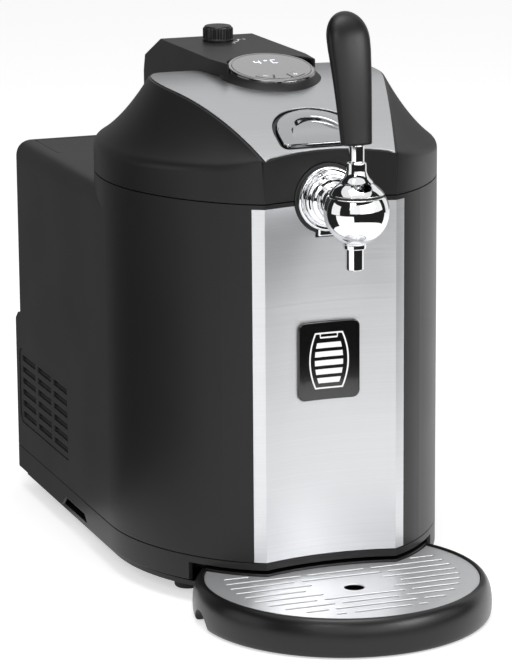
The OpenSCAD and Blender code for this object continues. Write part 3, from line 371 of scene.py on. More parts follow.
black_plastic = moulded("black plastic", "#19191a", 0.4, Specular_IOR_Level=0.3)
dark_plastic = moulded("dark plastic", "#222224", 0.46, Specular_IOR_Level=0.35)
tray_plastic = moulded("tray plastic", "#111112", 0.3, Specular_IOR_Level=0.4)
handle_plastic = moulded("handle plastic", "#111112", 0.36, Specular_IOR_Level=0.32)
knob_plastic = moulded("knob plastic", "#1a1a1b", 0.32, Specular_IOR_Level=0.4)
rubber = moulded("rubber", "#191919", 0.78, grain=3000, depth=0.00003)
inner_plastic = moulded("inner plastic", "#141415", 0.55)
display_plastic = moulded("display plastic", "#121213", 0.16, depth=0.000002, IOR=1.8,
    Coat_Weight=1.0, Coat_Roughness=0.05, Coat_IOR=1.7)
badge_gloss = moulded("badge gloss", "#0b0b0c", 0.12, depth=0.000002, Coat_Weight=0.7, Coat_Roughness=0.04)
white_plastic = moulded("white plastic", "#dcdcd8", 0.4)

# %% [markdown]
# Brushed steel is metal with thousands of fine parallel scratches. They spread every reflection at
# right angles to the scratches, which gives the bright and dark upright bands on the front. A noise that
# is stretched five-hundredfold along the brushing makes the lines. It feeds the bump and part of the
# colour; a coarser one feeds the roughness too. The front is brushed from side to side, so its lines
# differ in z; the top and the drip plate are brushed along x, so their lines differ in y.

# %% Metals
LINES_PER_METRE, LINE_STRETCH, LINE_DEPTH = 1800, 0.002, 0.00001
DARK_LINE, BRIGHT_LINE = 0.88, 1.1


def brushed(name, colour, along, roughness, metallic=1.0):
    made = Finish(name, colour, Metallic=metallic)
    stretch = [LINE_STRETCH if axis in along else 1.0 for axis in "xyz"]
    scratches = made.noise(LINES_PER_METRE, stretch, detail=2.0, rough=0.6)
    streaks = made.noise(LINES_PER_METRE / 3, stretch, detail=1.0)
    cloud = made.noise(9, detail=2.0)
    made.shade((scratches * 0.5 + streaks * 0.3 + cloud * 0.2).clamped(), DARK_LINE, BRIGHT_LINE)
    made.feed(Roughness=(streaks * 0.12 + cloud * 0.05 + (roughness - 0.09)).clamped())
    return made.bump(scratches, LINE_DEPTH)


panel_steel = brushed("panel steel", "#dadbdd", "xy", 0.42)
top_steel = brushed("top steel", "#b2b3b5", "xz", 0.34)
plate_steel = brushed("plate steel", "#dcdddf", "xz", 0.38, metallic=0.7)


def polished(name, colour, roughness, smudge=0.03):
    made = Finish(name, colour, Metallic=1.0)
    made.shade(made.noise(60), 0.97, 1.03)
    made.feed(Roughness=made.noise(35, detail=3.0) * smudge + roughness)
    return made


chrome = polished("chrome", "#e6e7e9", 0.035)
satin_chrome = polished("satin chrome", "#a9aaac", 0.1)
bright_steel = polished("bright steel", "#c8c9cc", 0.2, 0.1)
aluminium = polished("aluminium", "#b9bbbe", 0.38, 0.15)
brass = polished("brass", "#c9a45a", 0.25, 0.1)
foam = moulded("foam", "#e6e1d2", 0.9, grain=700, depth=0.0003)
ceramic = moulded("ceramic", "#f0efe9", 0.5)
board = moulded("circuit board", "#1d5a35", 0.4, grain=1500, depth=0.00005)
white_print = Finish("white print", "#f4f4f2", Roughness=0.45)
white_print.shade(white_print.noise(300), 0.95, 1.0)
lit_digit = Finish("lit digit", "#f2f6ff", Roughness=0.5, Emission_Strength=0.9)
lit_digit.feed(Emission_Color=lit_digit.node("ShaderNodeMix", {"data_type": "RGBA"}, {
    0: lit_digit.noise(200), 6: (0.8, 0.86, 1, 1), 7: (1, 1, 1, 1)}, output=2))

# %% [markdown]
# The CAD nodes that keep their own shape get their finish by assigning it to their mesh. The rest are
# replaced by finer pieces below; they get a finish too, so that none is ever left plain.

# %% Finishes of the CAD nodes
FINISHES = {
    black_plastic: "base_pan base_skirt housing_shell rear_top_cover lid_shell bridge_cover",
    dark_plastic: "side_grille_left side_grille_right rear_cover chamber_collar hinge_brackets hinge_arm "
                  "bridge_floor tap_mount lid_gasket",
    tray_plastic: "drip_tray",
    handle_plastic: "tap_handle",
    knob_plastic: "regulator_knob",
    rubber: "rubber_feet",
    inner_plastic: "power_inlet fan_housing fan_rotor release_well",
    display_plastic: "display_ring display_glass key_minus key_set key_plus",
    badge_gloss: "badge_plate",
    white_plastic: "lid_liner",
    panel_steel: "front_panel",
    top_steel: "lid_plate",
    plate_steel: "drip_plate",
    chrome: "tap_flange tap_shank tap_body tap_cap tap_nozzle lever_stem release_button hinge_pin",
    bright_steel: "base_screws cover_screws gas_cartridge latch_hook",
    aluminium: "chamber_liner cold_block heat_sink power_supply",
    brass: "gas_regulator",
    foam: "chamber_insulation",
    ceramic: "peltier_module",
    board: "control_board",
}
for finish, names in FINISHES.items():
    for name in names.split():
        cad[name].data.materials.clear()
        cad[name].data.materials.append(finish.material)
print("nodes with a finish:", sum(len(names.split()) for names in FINISHES.values()))

# %% [markdown]
# The finer pieces are built from a few kinds of solid that a workshop knows too: an outline pushed
# straight up, a profile turned on a lathe, and a skin stretched over rings. Each is a closed bmesh, so
# that one can be cut out of another. Faces are turned outwards after doubled points are merged.

# %% Solids
def solid(name, rings, wrap=False, turn=None):
    """A closed skin over rings of points (mm, in the drawing's frame), with a cap on each end ring."""
    bm = bmesh.new()
    rows = [[bm.verts.new(Vector(p)) for p in ring] for ring in rings]
    count = len(rows[0])
    for low, high in zip(rows, rows[1:] + rows[:1] if wrap else rows[1:]):
        for i in range(count):
            j = (i + 1) % count
            bm.faces.new((low[i], low[j], high[j], high[i]))
    if not wrap:
        bm.faces.new(rows[0][::-1])
        bm.faces.new(rows[-1])
    bmesh.ops.remove_doubles(bm, verts=bm.verts, dist=1e-4)
    bmesh.ops.dissolve_degenerate(bm, edges=bm.edges, dist=1e-5)
    bmesh.ops.recalc_face_normals(bm, faces=bm.faces)
    made = linked(name, bm)
    if turn:
        made.data.transform(turn)
    made.data.transform(Matrix.Diagonal((MM, MM, MM, 1)) @ at(0, MIDDLE, 0))
    return made


def prism(name, outline, low, high, turn=None):
    return solid(name, [[(x, y, z) for x, y in outline] for z in (low, high)], turn=turn)


def turned(name, profile, steps=96, turn=None):
    """A lathe part. Profile points are (radius, height); one that ends where it began is a ring."""
    rings = [[(x, y, h) for x, y in disc(max(r, 1e-5), steps=steps)] for r, h in profile]
    closed = profile[0] == profile[-1]
    return solid(name, rings[:-1] if closed else rings, wrap=closed, turn=turn)


def rounded(w, h, r, steps=8):
    """Outline of a rectangle with rounded corners, about the origin."""
    x, y = w / 2 - r, h / 2 - r
    corners = ((x, y, 0), (-x, y, 1), (-x, -y, 2), (x, -y, 3))
    return [(x + r * cos((q + k / steps) * TAU / 4), y + r * sin((q + k / steps) * TAU / 4))
        for x, y, q in corners for k in range(steps + 1)]


def disc(r, x=0, y=0, steps=96):
    return [(x + px, y + py) for px, py in (polar(r, a) for a in spread(0, TAU, steps)[:-1])]


def box(name, x, y, z):
    return prism(name, [(x[0], y[0]), (x[1], y[0]), (x[1], y[1]), (x[0], y[1])], *z)


# %% [markdown]
# Cutting is done with Boolean modifiers, one tool at a time. Small bevels matter: a moulded or pressed
# edge is never quite sharp, and the thin highlight along it makes the edge readable. Shading is smooth
# except where two faces meet at a clear angle.

# %% Cutting, bevelling and handing over a piece
def settle(made):
    """Applies the modifiers."""
    graph = bpy.context.evaluated_depsgraph_get()
    mesh = bpy.data.meshes.new_from_object(made.evaluated_get(graph))
    made.modifiers.clear()
    made.data = mesh
    return made


def carve(made, *tools, how="DIFFERENCE"):
    for tool in tools:
        step = made.modifiers.new("cut", "BOOLEAN")
        step.operation, step.object, step.solver = how, tool, "EXACT"
        settle(made)
        bpy.data.objects.remove(tool)
    return made


DOUBLES = 2e-6  # metres


def eased(made, width, steps=2, angle=32, flat=0.6):
    """Merges what is flat, then rounds the edges sharper than the angle, inside the piece's own box."""
    spans = [(min(side), max(side)) for side in zip(*(v.co for v in made.data.vertices))]
    bm = bmesh.new()
    bm.from_mesh(made.data)
    bmesh.ops.remove_doubles(bm, verts=bm.verts, dist=DOUBLES)
    bmesh.ops.dissolve_limit(bm, angle_limit=radians(flat), verts=bm.verts, edges=bm.edges)
    bm.to_mesh(made.data)
    bm.free()
    if width:
        soft = made.modifiers.new("ease", "BEVEL")
        soft.width, soft.segments, soft.limit_method = width * MM, steps, "ANGLE"
        soft.angle_limit = radians(angle)
        soft.use_clamp_overlap = False
        settle(made)
        for v in made.data.vertices:
            v.co = [min(max(c, low), high) for c, (low, high) in zip(v.co, spans)]
    made.data.shade_smooth()
    made.data.set_sharp_from_angle(angle=radians(max(angle, 50) if width else angle))
    weigh = made.modifiers.new("flat faces lead", "WEIGHTED_NORMAL")
    weigh.keep_sharp, weigh.weight = True, 60
    return settle(made)


def hand_over(made, finish, body, slot, *nodes):
    """Finish and body of a piece, and the CAD nodes that it stands for. The slot is not used."""
    made.data.materials.clear()
    made.data.materials.append(finish.material)
    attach(made, body)
    if nodes:
        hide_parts(*nodes)
    made.data.update()
    print(made.name, "faces:", len(made.data.polygons), "body:", body)
    return made


def copy_of(node, name):
    """A loose copy of a CAD node's mesh, free to be bevelled."""
    bm = bmesh.new()
    bm.from_mesh(cad[node].data)
    bmesh.ops.remove_doubles(bm, verts=bm.verts, dist=DOUBLES)
    return linked(name, bm)


def ease_node(node, width, finish, body, slot, steps=2, angle=32):
    """An eased copy of a CAD node takes the node's place."""
    return hand_over(eased(copy_of(node, node + "_eased"), width, steps, angle), finish, body, slot, node)


# %% [markdown]
# Most mouldings have the right shape already. What they lack are the small radii of a moulded edge, so
# each is copied, its flat areas are merged, and its edges are eased by about half a millimetre. The
# housing and the front panel keep their CAD surface, whose own normals shade its long curves best.

# %% Eased mouldings
EASED = [  # finish, slot, body, and the nodes with the width of their bevel in mm
    (black_plastic, "black_plastic", "housing", {"base_skirt": 0.6, "rear_top_cover": 0.5}),
    (dark_plastic, "dark_plastic", "housing", {
        "side_grille_left": 0.4, "side_grille_right": 0.4, "rear_cover": 0.4}),
    (rubber, "rubber", "housing", {"rubber_feet": 1.2}),
    (inner_plastic, "dark_plastic", "housing", {"tap_mount": 0.4}),
    (dark_plastic, "dark_plastic", "housing", {"hinge_brackets": 0.6}),
    (black_plastic, "black_plastic", "lid", {"bridge_cover": 0.9}),
    (white_plastic, "white_plastic", "lid", {"lid_liner": 0.5}),
]
for finish, slot, body, widths in EASED:
    for node, width in widths.items():
        ease_node(node, width, finish, body, slot)

# %% [markdown]
# The lid is the one large free form. Its rim follows the oval body and rises a little towards the front;
# above the rim the surface flares inwards to the outline of the steel top. Between the two creases at
# the front it is the hollow wall that continues the front panel.

# %% Outlines of the oval, its hollow front and the steel top
def oval(a, grow=0.0):
    """Point of the body's outline whose outward normal points a degrees from the front."""
    half = a if a <= 180 else 360 - a
    s, c = sin(radians(half)), cos(radians(half))
    if half < TANGENT_A:
        x, y = (NOSE_R + grow) * s, -NOSE_C - (NOSE_R + grow) * c
    elif half > 180 - TANGENT_A:
        x, y = (NOSE_R + grow) * s, NOSE_C - (NOSE_R + grow) * c
    else:
        x, y = HALF_W - SIDE_R + (SIDE_R + grow) * s, -(SIDE_R + grow) * c
    return (x, y) if a <= 180 else (-x, y)


def crown(a, grow=0.0):
    """The same for the steel top: straight from the crease, then round."""
    half = a if a <= 180 else 360 - a
    r = CROWN_R + grow
    if half > CROWN_A:
        x, y = r * sin(radians(half)), -CROWN_Y - r * cos(radians(half))
    else:
        x0, y0 = CREASE_X + grow, -CREASE_Y
        x1, y1 = r * sin(radians(CROWN_A)), -CROWN_Y - r * cos(radians(CROWN_A))
        t = (half - CREASE_A) / (CROWN_A - CREASE_A)
        x, y = x0 + (x1 - x0) * t, y0 + (y1 - y0) * t
    return (x, y) if a <= 180 else (-x, y)


def hollow(x, grow=0.0):
    """The hollow front between the creases."""
    return x, -HOLLOW_Y + sqrt((HOLLOW_R - grow) ** 2 - x * x)


def arch(y):
    return ARCH_Z - ARCH_R + sqrt(ARCH_R**2 - (y - ARCH_Y) ** 2)


def rim(a):
    """Height of the rim: level at the sides, rising towards the creases."""
    u = max(0, 1 - ((a if a <= 180 else 360 - a) - CREASE_A) / RIM_RISE_A)
    return SEAM_Z + RIM_H + (RIM_FRONT_H - RIM_H) * u * u


# %% [markdown]
# Each column of points runs up the lid: the lower edge, the rim, a soft roll and the flare. Columns
# stand all round the body, and the same step in every column makes one ring of the skin.

# %% Rings of the lid
AROUND, ACROSS, FLARE_STEPS = 264, 24, 20
ROUND = 360 - 2 * CREASE_A  # degrees of the oval between the creases
ROLL, EDGE, FRONT_RISE = 5.0, 0.5, 48
BRIDGE_END, BRIDGE_NARROWS, BRIDGE_NECK = 230, 14, 4.2
TAP_HOLE_R, TAP_NOTCH_W, TAP_NOTCH_D = 28.5, 10, 31
FAR = 200  # how far the cutters reach, well beyond the piece


def lid_column(a, seam):
    """Points up one line of the lid: lower edge, rim, roll, flare."""
    ox, oy = oval(a)
    cx, cy = crown(a)
    z1, z2 = rim(a), arch(cy)

    def flare(u):
        return Vector((ox + (cx - ox) * u, oy + (cy - oy) * u, z1 + (z2 - z1) * (0.55 * u + 0.45 * u * u)))

    start = min(0.4, ROLL / max((flare(0.1) - flare(0)).length * 10, 1))
    low, corner, high = Vector((ox, oy, z1 - ROLL)), flare(0), flare(start)
    line = [Vector((*oval(a, -EDGE), seam)), Vector((ox, oy, seam + EDGE))]
    line += [Vector((ox, oy, (seam + z1 - ROLL) / 2)), low]
    line += [low * (1 - t) ** 2 + corner * 2 * t * (1 - t) + high * t * t for t in (0.2, 0.4, 0.6, 0.8)]
    return line + [flare(u) for u in spread(start, 1 - start, FLARE_STEPS)]


def front_column(x, seam):
    heights = spread(seam + EDGE, SEAM_Z + FRONT_RISE - seam, FLARE_STEPS + 7)
    return [Vector((*hollow(x, -EDGE), seam))] + [Vector((*hollow(x), z)) for z in heights]


def lid_loft(name, seam):
    columns = [front_column(x, seam) for x in spread(-CREASE_X, 2 * CREASE_X, ACROSS)]
    columns += [lid_column(a, seam) for a in spread(CREASE_A, ROUND, AROUND)[1:-1]]
    rings = [list(ring) for ring in zip(*columns)]
    return solid(name, rings + [[(p.x, p.y, SEAM_Z + 160) for p in rings[-1]]])


def under_arch(name, drop):
    """Everything below the arch of the steel top."""
    side = [(y, ARCH_Z - ARCH_R + sqrt((ARCH_R - drop) ** 2 - (y - ARCH_Y) ** 2))
        for y in spread(-190, 400, 260)]
    outline = [(-190, SEAM_Z - 60)] + side + [(210, SEAM_Z - 60)]
    return solid(name, [[(x, y, z) for y, z in outline] for x in (-FAR, FAR)])


def tilted(x=0.0, y=0.0, z=0.0):
    """Places something on the display's slanting face."""
    return at(0, DISPLAY_Y, DISPLAY_Z) @ spun(DISPLAY_TILT, "X") @ at(x, y, z)


def release_outline(grow=0.0, corner=3.0):
    """The button's outline: straight at the front, round behind, with rounded corners."""
    r = RELEASE_R + grow
    y0, yc = -RELEASE_Y - grow, -RELEASE_Y + RELEASE_D - RELEASE_R
    points = [(x, yc + y) for x, y in (polar(r, a) for a in spread(0, pi, 48))]
    turns = [k / 8 * TAU / 4 for k in range(9)]
    foot = [(corner - r - corner * cos(t), y0 + corner - corner * sin(t)) for t in turns]
    return points + foot + [(-x, y) for x, y in foot[::-1]]


def bridge_outline(grow):
    """Plan of the bridge, which narrows towards the display."""
    w, n = BRIDGE_W / 2 + grow, DISPLAY_R + BRIDGE_NECK + grow
    half = [(w, BRIDGE_END), (w, BRIDGE_NARROWS), (n, DISPLAY_Y)]
    return [(-x, y) for x, y in half] + half[::-1]


def tap_tool(name):
    """Cutter for the tap's opening: a round hole with a notch below."""
    start = -acos(TAP_NOTCH_W / TAP_HOLE_R)
    points = [polar(TAP_HOLE_R, a) for a in spread(start, pi - 2 * start, 80)]
    points += [(-TAP_NOTCH_W, -TAP_NOTCH_D), (TAP_NOTCH_W, -TAP_NOTCH_D)]
    return solid(name, [[(x, y, TAP_Z + z) for x, z in points] for y in (-BODY_D, -FRONT_Y + 20)])


# %% [markdown]
# The shell is the outer skin below the arch, less the same skin made smaller and lowered by the wall of
# three millimetres, less the openings for the tap, the bridge, the display and the release button.

# %% Lid shell
LID_WALL, SHEET, SEAM_GAP = 3, 1.1, 0.6
DISPLAY_HOLE_R, DISPLAY_SUNK, BRIDGE_BED = 36.2, 13.2, 38.8
ABOVE = SEAM_Z + FAR
lid = carve(lid_loft("lid_skin", SEAM_Z + SEAM_GAP), under_arch("arch tool", SHEET), how="INTERSECT")
inner = lid_loft("inner skin", SEAM_Z - 1)
smaller = Matrix.Diagonal((1 - LID_WALL / HALF_W, 1 - LID_WALL / BODY_D * 2, 1, 1))
inner.data.transform(at(0, MIDDLE * MM, -LID_WALL * MM) @ smaller @ at(0, -MIDDLE * MM, 0))
carve(inner, under_arch("inner arch tool", LID_WALL + 1), how="INTERSECT")
carve(lid, inner, tap_tool("tap tool"),
    prism("bridge tool", bridge_outline(0.2), SEAM_Z + BRIDGE_BED, ABOVE),
    prism("display tool", disc(DISPLAY_HOLE_R), -DISPLAY_SUNK, 60, tilted()),
    prism("button tool", release_outline(3.8), SEAM_Z, ABOVE))
hand_over(eased(lid, 0, angle=28, flat=0.05), black_plastic, "lid", "black_plastic", "lid_shell")

# %% [markdown]
# The steel top is one pressed sheet that lies on the shell. It is cut from the arch itself, a little
# smaller than the shell, so that a thin black line stays visible round it, and its rolled edge catches
# the light along the front.

# %% Steel top
ring = [crown(a, -1.1) for a in spread(CREASE_A, ROUND, AROUND)]
inset = CREASE_X - 1.6
arc = [hollow(x, -1.0) for x in spread(-inset, 2 * inset, ACROSS)[1:-1]]
top = prism("steel_top", ring + arc, SEAM_Z + 20, SEAM_Z + 150)
carve(top, under_arch("over tool", 0), how="INTERSECT")
carve(top, under_arch("sheet tool", 1.0),
    prism("bridge tool", bridge_outline(0.4), SEAM_Z - 40, ABOVE),
    prism("display tool", disc(DISPLAY_HOLE_R + 0.2), -30, 60, tilted()),
    prism("button tool", release_outline(3.3, 6.0), SEAM_Z - 50, ABOVE))
hand_over(eased(top, 0.35, 2, angle=40, flat=0.05), top_steel, "lid", "brushed_steel", "lid_plate")

# %% [markdown]
# Ribs, louvres and screw heads repeat, so Geometry Nodes place them. One tree sets copies of a modelled
# piece round a circle, the other in rows and columns. A tree's inputs are its sizes, and it ends by
# making the copies real, because an export drops instances.

# %% Two repeating patterns
def pattern(name, inputs, points):
    """A tree that puts its own input shape on points; `points` adds the nodes that make them."""
    tree = bpy.data.node_groups.new(name, "GeometryNodeTree")
    tree.interface.new_socket("Shape", in_out="INPUT", socket_type="NodeSocketGeometry")
    for title, kind in {**inputs, "Finish": "Material"}.items():
        tree.interface.new_socket(title, in_out="INPUT", socket_type="NodeSocket" + kind)
    tree.interface.new_socket("Result", in_out="OUTPUT", socket_type="NodeSocketGeometry")
    web = Web(tree)
    given = tree.nodes.new("NodeGroupInput")
    take = {socket.name: Wire(web, socket) for socket in given.outputs}
    where, turn = points(web, take)
    copies = web.node("GeometryNodeInstanceOnPoints", None, {
        "Points": where, "Instance": take["Shape"], "Rotation": turn})
    real = web.node("GeometryNodeRealizeInstances", None, {"Geometry": copies})
    painted = web.node("GeometryNodeSetMaterial", None, {"Geometry": real, "Material": take["Finish"]})
    web.put(painted, tree.nodes.new("NodeGroupOutput").inputs[0])
    return tree


def around_circle(web, take):
    ring = web.node("GeometryNodeMeshCircle", None, {"Vertices": take["Count"], "Radius": take["Radius"]})
    step = web.node("ShaderNodeMath", {"operation": "DIVIDE"}, {0: TAU, 1: take["Count"]})
    angle = web.node("GeometryNodeInputIndex") * step
    spin = web.node("ShaderNodeCombineXYZ", None, {"Z": angle})
    return ring, web.node("FunctionNodeEulerToRotation", None, {"Euler": spin})


def in_grid(web, take):
    wide = (take["Columns"] - 1) * take["Column pitch"]
    tall = (take["Rows"] - 1) * take["Row pitch"]
    grid = web.node("GeometryNodeMeshGrid", None, {
        "Size X": wide, "Size Y": tall, "Vertices X": take["Columns"], "Vertices Y": take["Rows"]})
    return grid, web.node("FunctionNodeEulerToRotation", None, {"Euler": (0, 0, 0)})


circle_of = pattern("round a circle", {"Count": "Int", "Radius": "Float"}, around_circle)
grid_of = pattern("rows and columns", {
    "Columns": "Int", "Rows": "Int", "Column pitch": "Float", "Row pitch": "Float"}, in_grid)


def repeated(shape, tree, finish, place, **values):
    """Runs the pattern on the shape, makes it a plain mesh and puts that in its place."""
    shape.data.transform(at(0, -MIDDLE * MM, 0))  # the shape stands at the origin
    step = shape.modifiers.new("pattern", "NODES")
    step.node_group = tree
    ids = {item.name: item.identifier for item in tree.interface.items_tree if item.in_out == "INPUT"}
    for title, value in values.items():
        step[ids[title.replace("_", " ")]] = value
    step[ids["Finish"]] = finish.material
    settle(shape)
    shift, turn = at(*(place.to_translation() * MM)), place.to_quaternion().to_matrix().to_4x4()
    shape.data.transform(at(0, MIDDLE * MM, 0) @ shift @ turn)
    return shape


# %% [markdown]
# Prints and signs are thin raised shapes. A line is drawn as an outline of some width along its points,
# and the shapes of one sign are joined into one piece.

# %% Lines and joined shapes
PRINT = 0.08  # thickness of a print, in mm


def stroke(points, width):
    """Outline of a line of some width through the points."""
    left, right = [], []
    for k, point in enumerate(points):
        before, after = Vector(points[max(k - 1, 0)]), Vector(points[min(k + 1, len(points) - 1)])
        side = (after - before).normalized().orthogonal() * width / 2
        left.append(tuple(Vector(point) + side))
        right.append(tuple(Vector(point) - side))
    return left + right[::-1]


def joined(name, parts):
    """Several loose shapes as one piece."""
    bm = bmesh.new()
    for part in parts:
        bm.from_mesh(part.data)
        bpy.data.objects.remove(part)
    return linked(name, bm)


# %% [markdown]
# The gas regulator's knob is a small ribbed cap on the bridge. Its body is turned, with a narrow skirt
# at the foot, and thirty ribs are set round it. A short white line on the cap shows where it stands.

# %% Regulator knob
KNOB_Z = BRIDGE_TOP + 0.3
KNOB_TOP = KNOB_Z + KNOB_H
RIB_COUNT, RIB_CIRCLE = 30, KNOB_R - 1.0
RIB_LEVELS = [(2.0, 1), (KNOB_H - 3.0, 1), (KNOB_H - 2.2, 0.4)]  # height, share of the rib's depth
KNOB_PROFILE = [(0, 0), (KNOB_R - 0.1, 0), (KNOB_R, 0.4), (KNOB_R, 1.3), (KNOB_R - 0.9, 2.0),
    (KNOB_R - 1.0, KNOB_H - 2.4), (KNOB_R - 1.6, KNOB_H - 1.0), (KNOB_R - 2.6, KNOB_H - 0.3),
    (KNOB_R - 4.2, KNOB_H), (0, KNOB_H)]
knob_at = at(0, KNOB_Y, KNOB_Z)
cap = turned("knob_cap", KNOB_PROFILE, turn=knob_at)
carve(cap, turned("stub", [(0, -18), (3, -18), (3, 0.2), (0, 0.2)], 32, knob_at), how="UNION")
carve(cap, box("line tool", (KNOB_R - 8, KNOB_R - 3.4), (KNOB_Y - 0.6, KNOB_Y + 0.6),
    (KNOB_TOP - 0.5, KNOB_TOP + 2)))
hand_over(eased(cap, 0, angle=35), knob_plastic, "knob", "knob_plastic", "regulator_knob")
rib = solid("knob_ribs", [[(-0.3, -0.55, z), (0.35 * k, -0.4, z), (0.85 * k, 0, z), (0.35 * k, 0.4, z),
    (-0.3, 0.55, z)] for z, k in RIB_LEVELS])
repeated(rib, circle_of, knob_plastic, knob_at, Count=RIB_COUNT, Radius=RIB_CIRCLE * MM)
hand_over(rib, knob_plastic, "knob", "knob_plastic")
mark = box("knob_line", (KNOB_R - 7.9, KNOB_R - 3.5), (KNOB_Y - 0.5, KNOB_Y + 0.5),
    (KNOB_TOP - 0.5, KNOB_TOP - 0.15))
hand_over(mark, white_print, "knob", "knob_plastic")

# %% [markdown]
# An arc that ends in an arrow is printed on the bridge beside the knob, between a minus and a plus.

# %% Print beside the knob
SCALE_R = 17.5
SCALE_SIGNS = {  # corners in mm from the knob's axis
    "minus": [(5.5, -20.6), (8.6, -20.6), (8.6, -19.7), (5.5, -19.7)],
    "bar": [(21.0, -1.9), (24.2, -1.9), (24.2, -1.0), (21.0, -1.0)],
    "post": [(22.15, -3.05), (23.05, -3.05), (23.05, 0.15), (22.15, 0.15)],
}
arc_line = [polar(SCALE_R, radians(a)) for a in range(-62, -9, 4)]
arrow = [tuple(Vector(arc_line[-1]) + Vector(p)) for p in ((-1.8, 0.2), (1.9, 0.1), (0.5, 2.9))]
marks = [prism(name, outline, 0, PRINT, at(0, KNOB_Y, BRIDGE_TOP + 0.02)) for name, outline in (
    ("arc", stroke(arc_line, 0.9)), ("arrow", arrow), *SCALE_SIGNS.items())]
hand_over(joined("knob_scale", marks), white_print, "lid", "black_plastic")

# %% [markdown]
# The display is a glossy disc on a flared collar. The collar is a turned cone that leans with the
# display and is trimmed where it meets the steel top. The glass and the keys keep their CAD shape with
# a fine bevel.

# %% Display
COLLAR = [(33, -1.8), (35.8, -1.8), (36.3, -2.6), (37.4, -4.2), (39.6, -6.6), (41.2, -8.0), (41.6, -8.8),
    (41.6, -30), (33, -30), (33, -1.8)]
BEZEL = [(28, -13), (36, -13), (36, -1.9), (35.9, -0.9), (35.2, -0.1), (34.2, 0.25), (33.2, 0.2),
    (32.4, -0.3), (32.4, -4), (28, -4), (28, -13)]
collar = carve(turned("display_collar", COLLAR, 144, tilted()), under_arch("arch tool", -0.05))
hand_over(eased(collar, 0, angle=30), black_plastic, "lid", "black_plastic")
bezel = turned("display_bezel", BEZEL, 144, tilted())
hand_over(eased(bezel, 0, angle=40), display_plastic, "lid", "display_plastic", "display_ring")
ease_node("display_glass", 0.22, display_plastic, "lid", "display_plastic")
for key in ("key_minus", "key_set", "key_plus"):
    ease_node(key, 0.3, display_plastic, key + "_body", "display_plastic")

# %% [markdown]
# The figures are seven-segment bars that glow, set just above the glass so that they show in every
# renderer. The signs minus and plus are printed on their keys and move with them.

# %% Figures and key signs
DIGIT_W, DIGIT_H, BAR_W = 4.2, 7.6, 0.9
FIGURE_Z, FIGURE_T, SIGN_Z, SIGN_T, SIGN_R = 0.26, 0.06, 0.31, 0.05, 24.8
SEGMENTS = {"4": "bcfg", "C": "adef"}
BARS = {  # place of each bar in half widths and half heights of the figure, and whether it lies flat
    "a": (0, 1, True), "b": (1, 0.5, False), "c": (1, -0.5, False), "d": (0, -1, True),
    "e": (-1, -0.5, False), "f": (-1, 0.5, False), "g": (0, 0, True),
}
KEY_SIGNS = [  # key, degrees round the display, width and height of each bar
    ("key_minus", -31, [(4.4, 1.1)]),
    ("key_plus", 31, [(4.4, 1.1), (1.1, 4.4)]),
]


def digit(sign, x, y):
    parts = []
    for segment in SEGMENTS[sign]:
        sx, sy, lies = BARS[segment]
        wide, tall = (DIGIT_W, BAR_W) if lies else (BAR_W, DIGIT_H / 2 - 0.5)
        parts.append(prism("segment", rounded(wide, tall, 0.3, 2), 0, FIGURE_T,
            tilted(x + sx * DIGIT_W / 2, y + sy * DIGIT_H / 2, FIGURE_Z)))
    return parts


circle = disc(1.1, steps=12)
degree = prism("degree", stroke(circle + circle[:1], 0.6), 0, FIGURE_T, tilted(0, 15, FIGURE_Z))
figures = digit("4", -8, 12) + digit("C", 6.5, 12) + [degree]
hand_over(joined("display_figures", figures), lit_digit, "lid", "display_plastic")
for key, angle, bars in KEY_SIGNS:
    turn = tilted() @ spun(angle, "Z") @ at(0, -SIGN_R, SIGN_Z)
    parts = [prism("bar", rounded(w, h, 0.2, 2), 0, SIGN_T, turn) for w, h in bars]
    hand_over(joined(key + "_sign", parts), white_print, key + "_body", "display_plastic")

# %% [markdown]
# The release button is a chromed half moon set in a black frame. Its face follows the arch of the lid
# and falls a little towards the border, and a crescent is sunk into it where the thumb pushes. A fine
# grid carries that relief; the outline is then cut from it.

# %% Release button
THUMB_R, THUMB_EDGE, THUMB_DEPTH = 23, 2.4, 3.4
FACE_UP, FACE_T, BORDER_FALL, BORDER_W = 1.2, 4.5, 0.9, 9
GRID_X, GRID_Y = (-34, 68, 88), (-RELEASE_Y - 1, 48, 62)  # start, length and steps of the grid


def smooth(t):
    t = max(0, min(1, t))
    return t * t * (3 - 2 * t)


def button_face(x, y):
    """Height of the button's face: the arch, the falling border and the sunken thumb rest."""
    reach = hypot(x, (y + RELEASE_Y - 9) * 0.92)  # from the middle of the crescent
    sunk = smooth((THUMB_R - reach) / THUMB_EDGE) * (y > -RELEASE_Y + 2.5)
    depth = THUMB_DEPTH * smooth((y + RELEASE_Y - 4) / 24)
    edge = min(1, max(0, (reach - THUMB_R) / BORDER_W))
    return arch(y) + FACE_UP - sunk * depth - BORDER_FALL * edge * edge


xs, ys = spread(*GRID_X), spread(*GRID_Y)
bm = bmesh.new()
tops = [[bm.verts.new((x, y + MIDDLE, button_face(x, y))) for x in xs] for y in ys]
lows = [[bm.verts.new((x, y + MIDDLE, arch(y) - FACE_T)) for x in xs] for y in ys]
for j in range(len(ys) - 1):
    for i in range(len(xs) - 1):
        bm.faces.new((tops[j][i], tops[j][i + 1], tops[j + 1][i + 1], tops[j + 1][i]))
        bm.faces.new((lows[j][i], lows[j + 1][i], lows[j + 1][i + 1], lows[j][i + 1]))
for j in range(len(ys) - 1):
    bm.faces.new((tops[j][0], tops[j + 1][0], lows[j + 1][0], lows[j][0]))
    bm.faces.new((tops[j + 1][-1], tops[j][-1], lows[j][-1], lows[j + 1][-1]))
for i in range(len(xs) - 1):
    bm.faces.new((tops[0][i + 1], tops[0][i], lows[0][i], lows[0][i + 1]))
    bm.faces.new((tops[-1][i], tops[-1][i + 1], lows[-1][i + 1], lows[-1][i]))
bmesh.ops.recalc_face_normals(bm, faces=bm.faces)
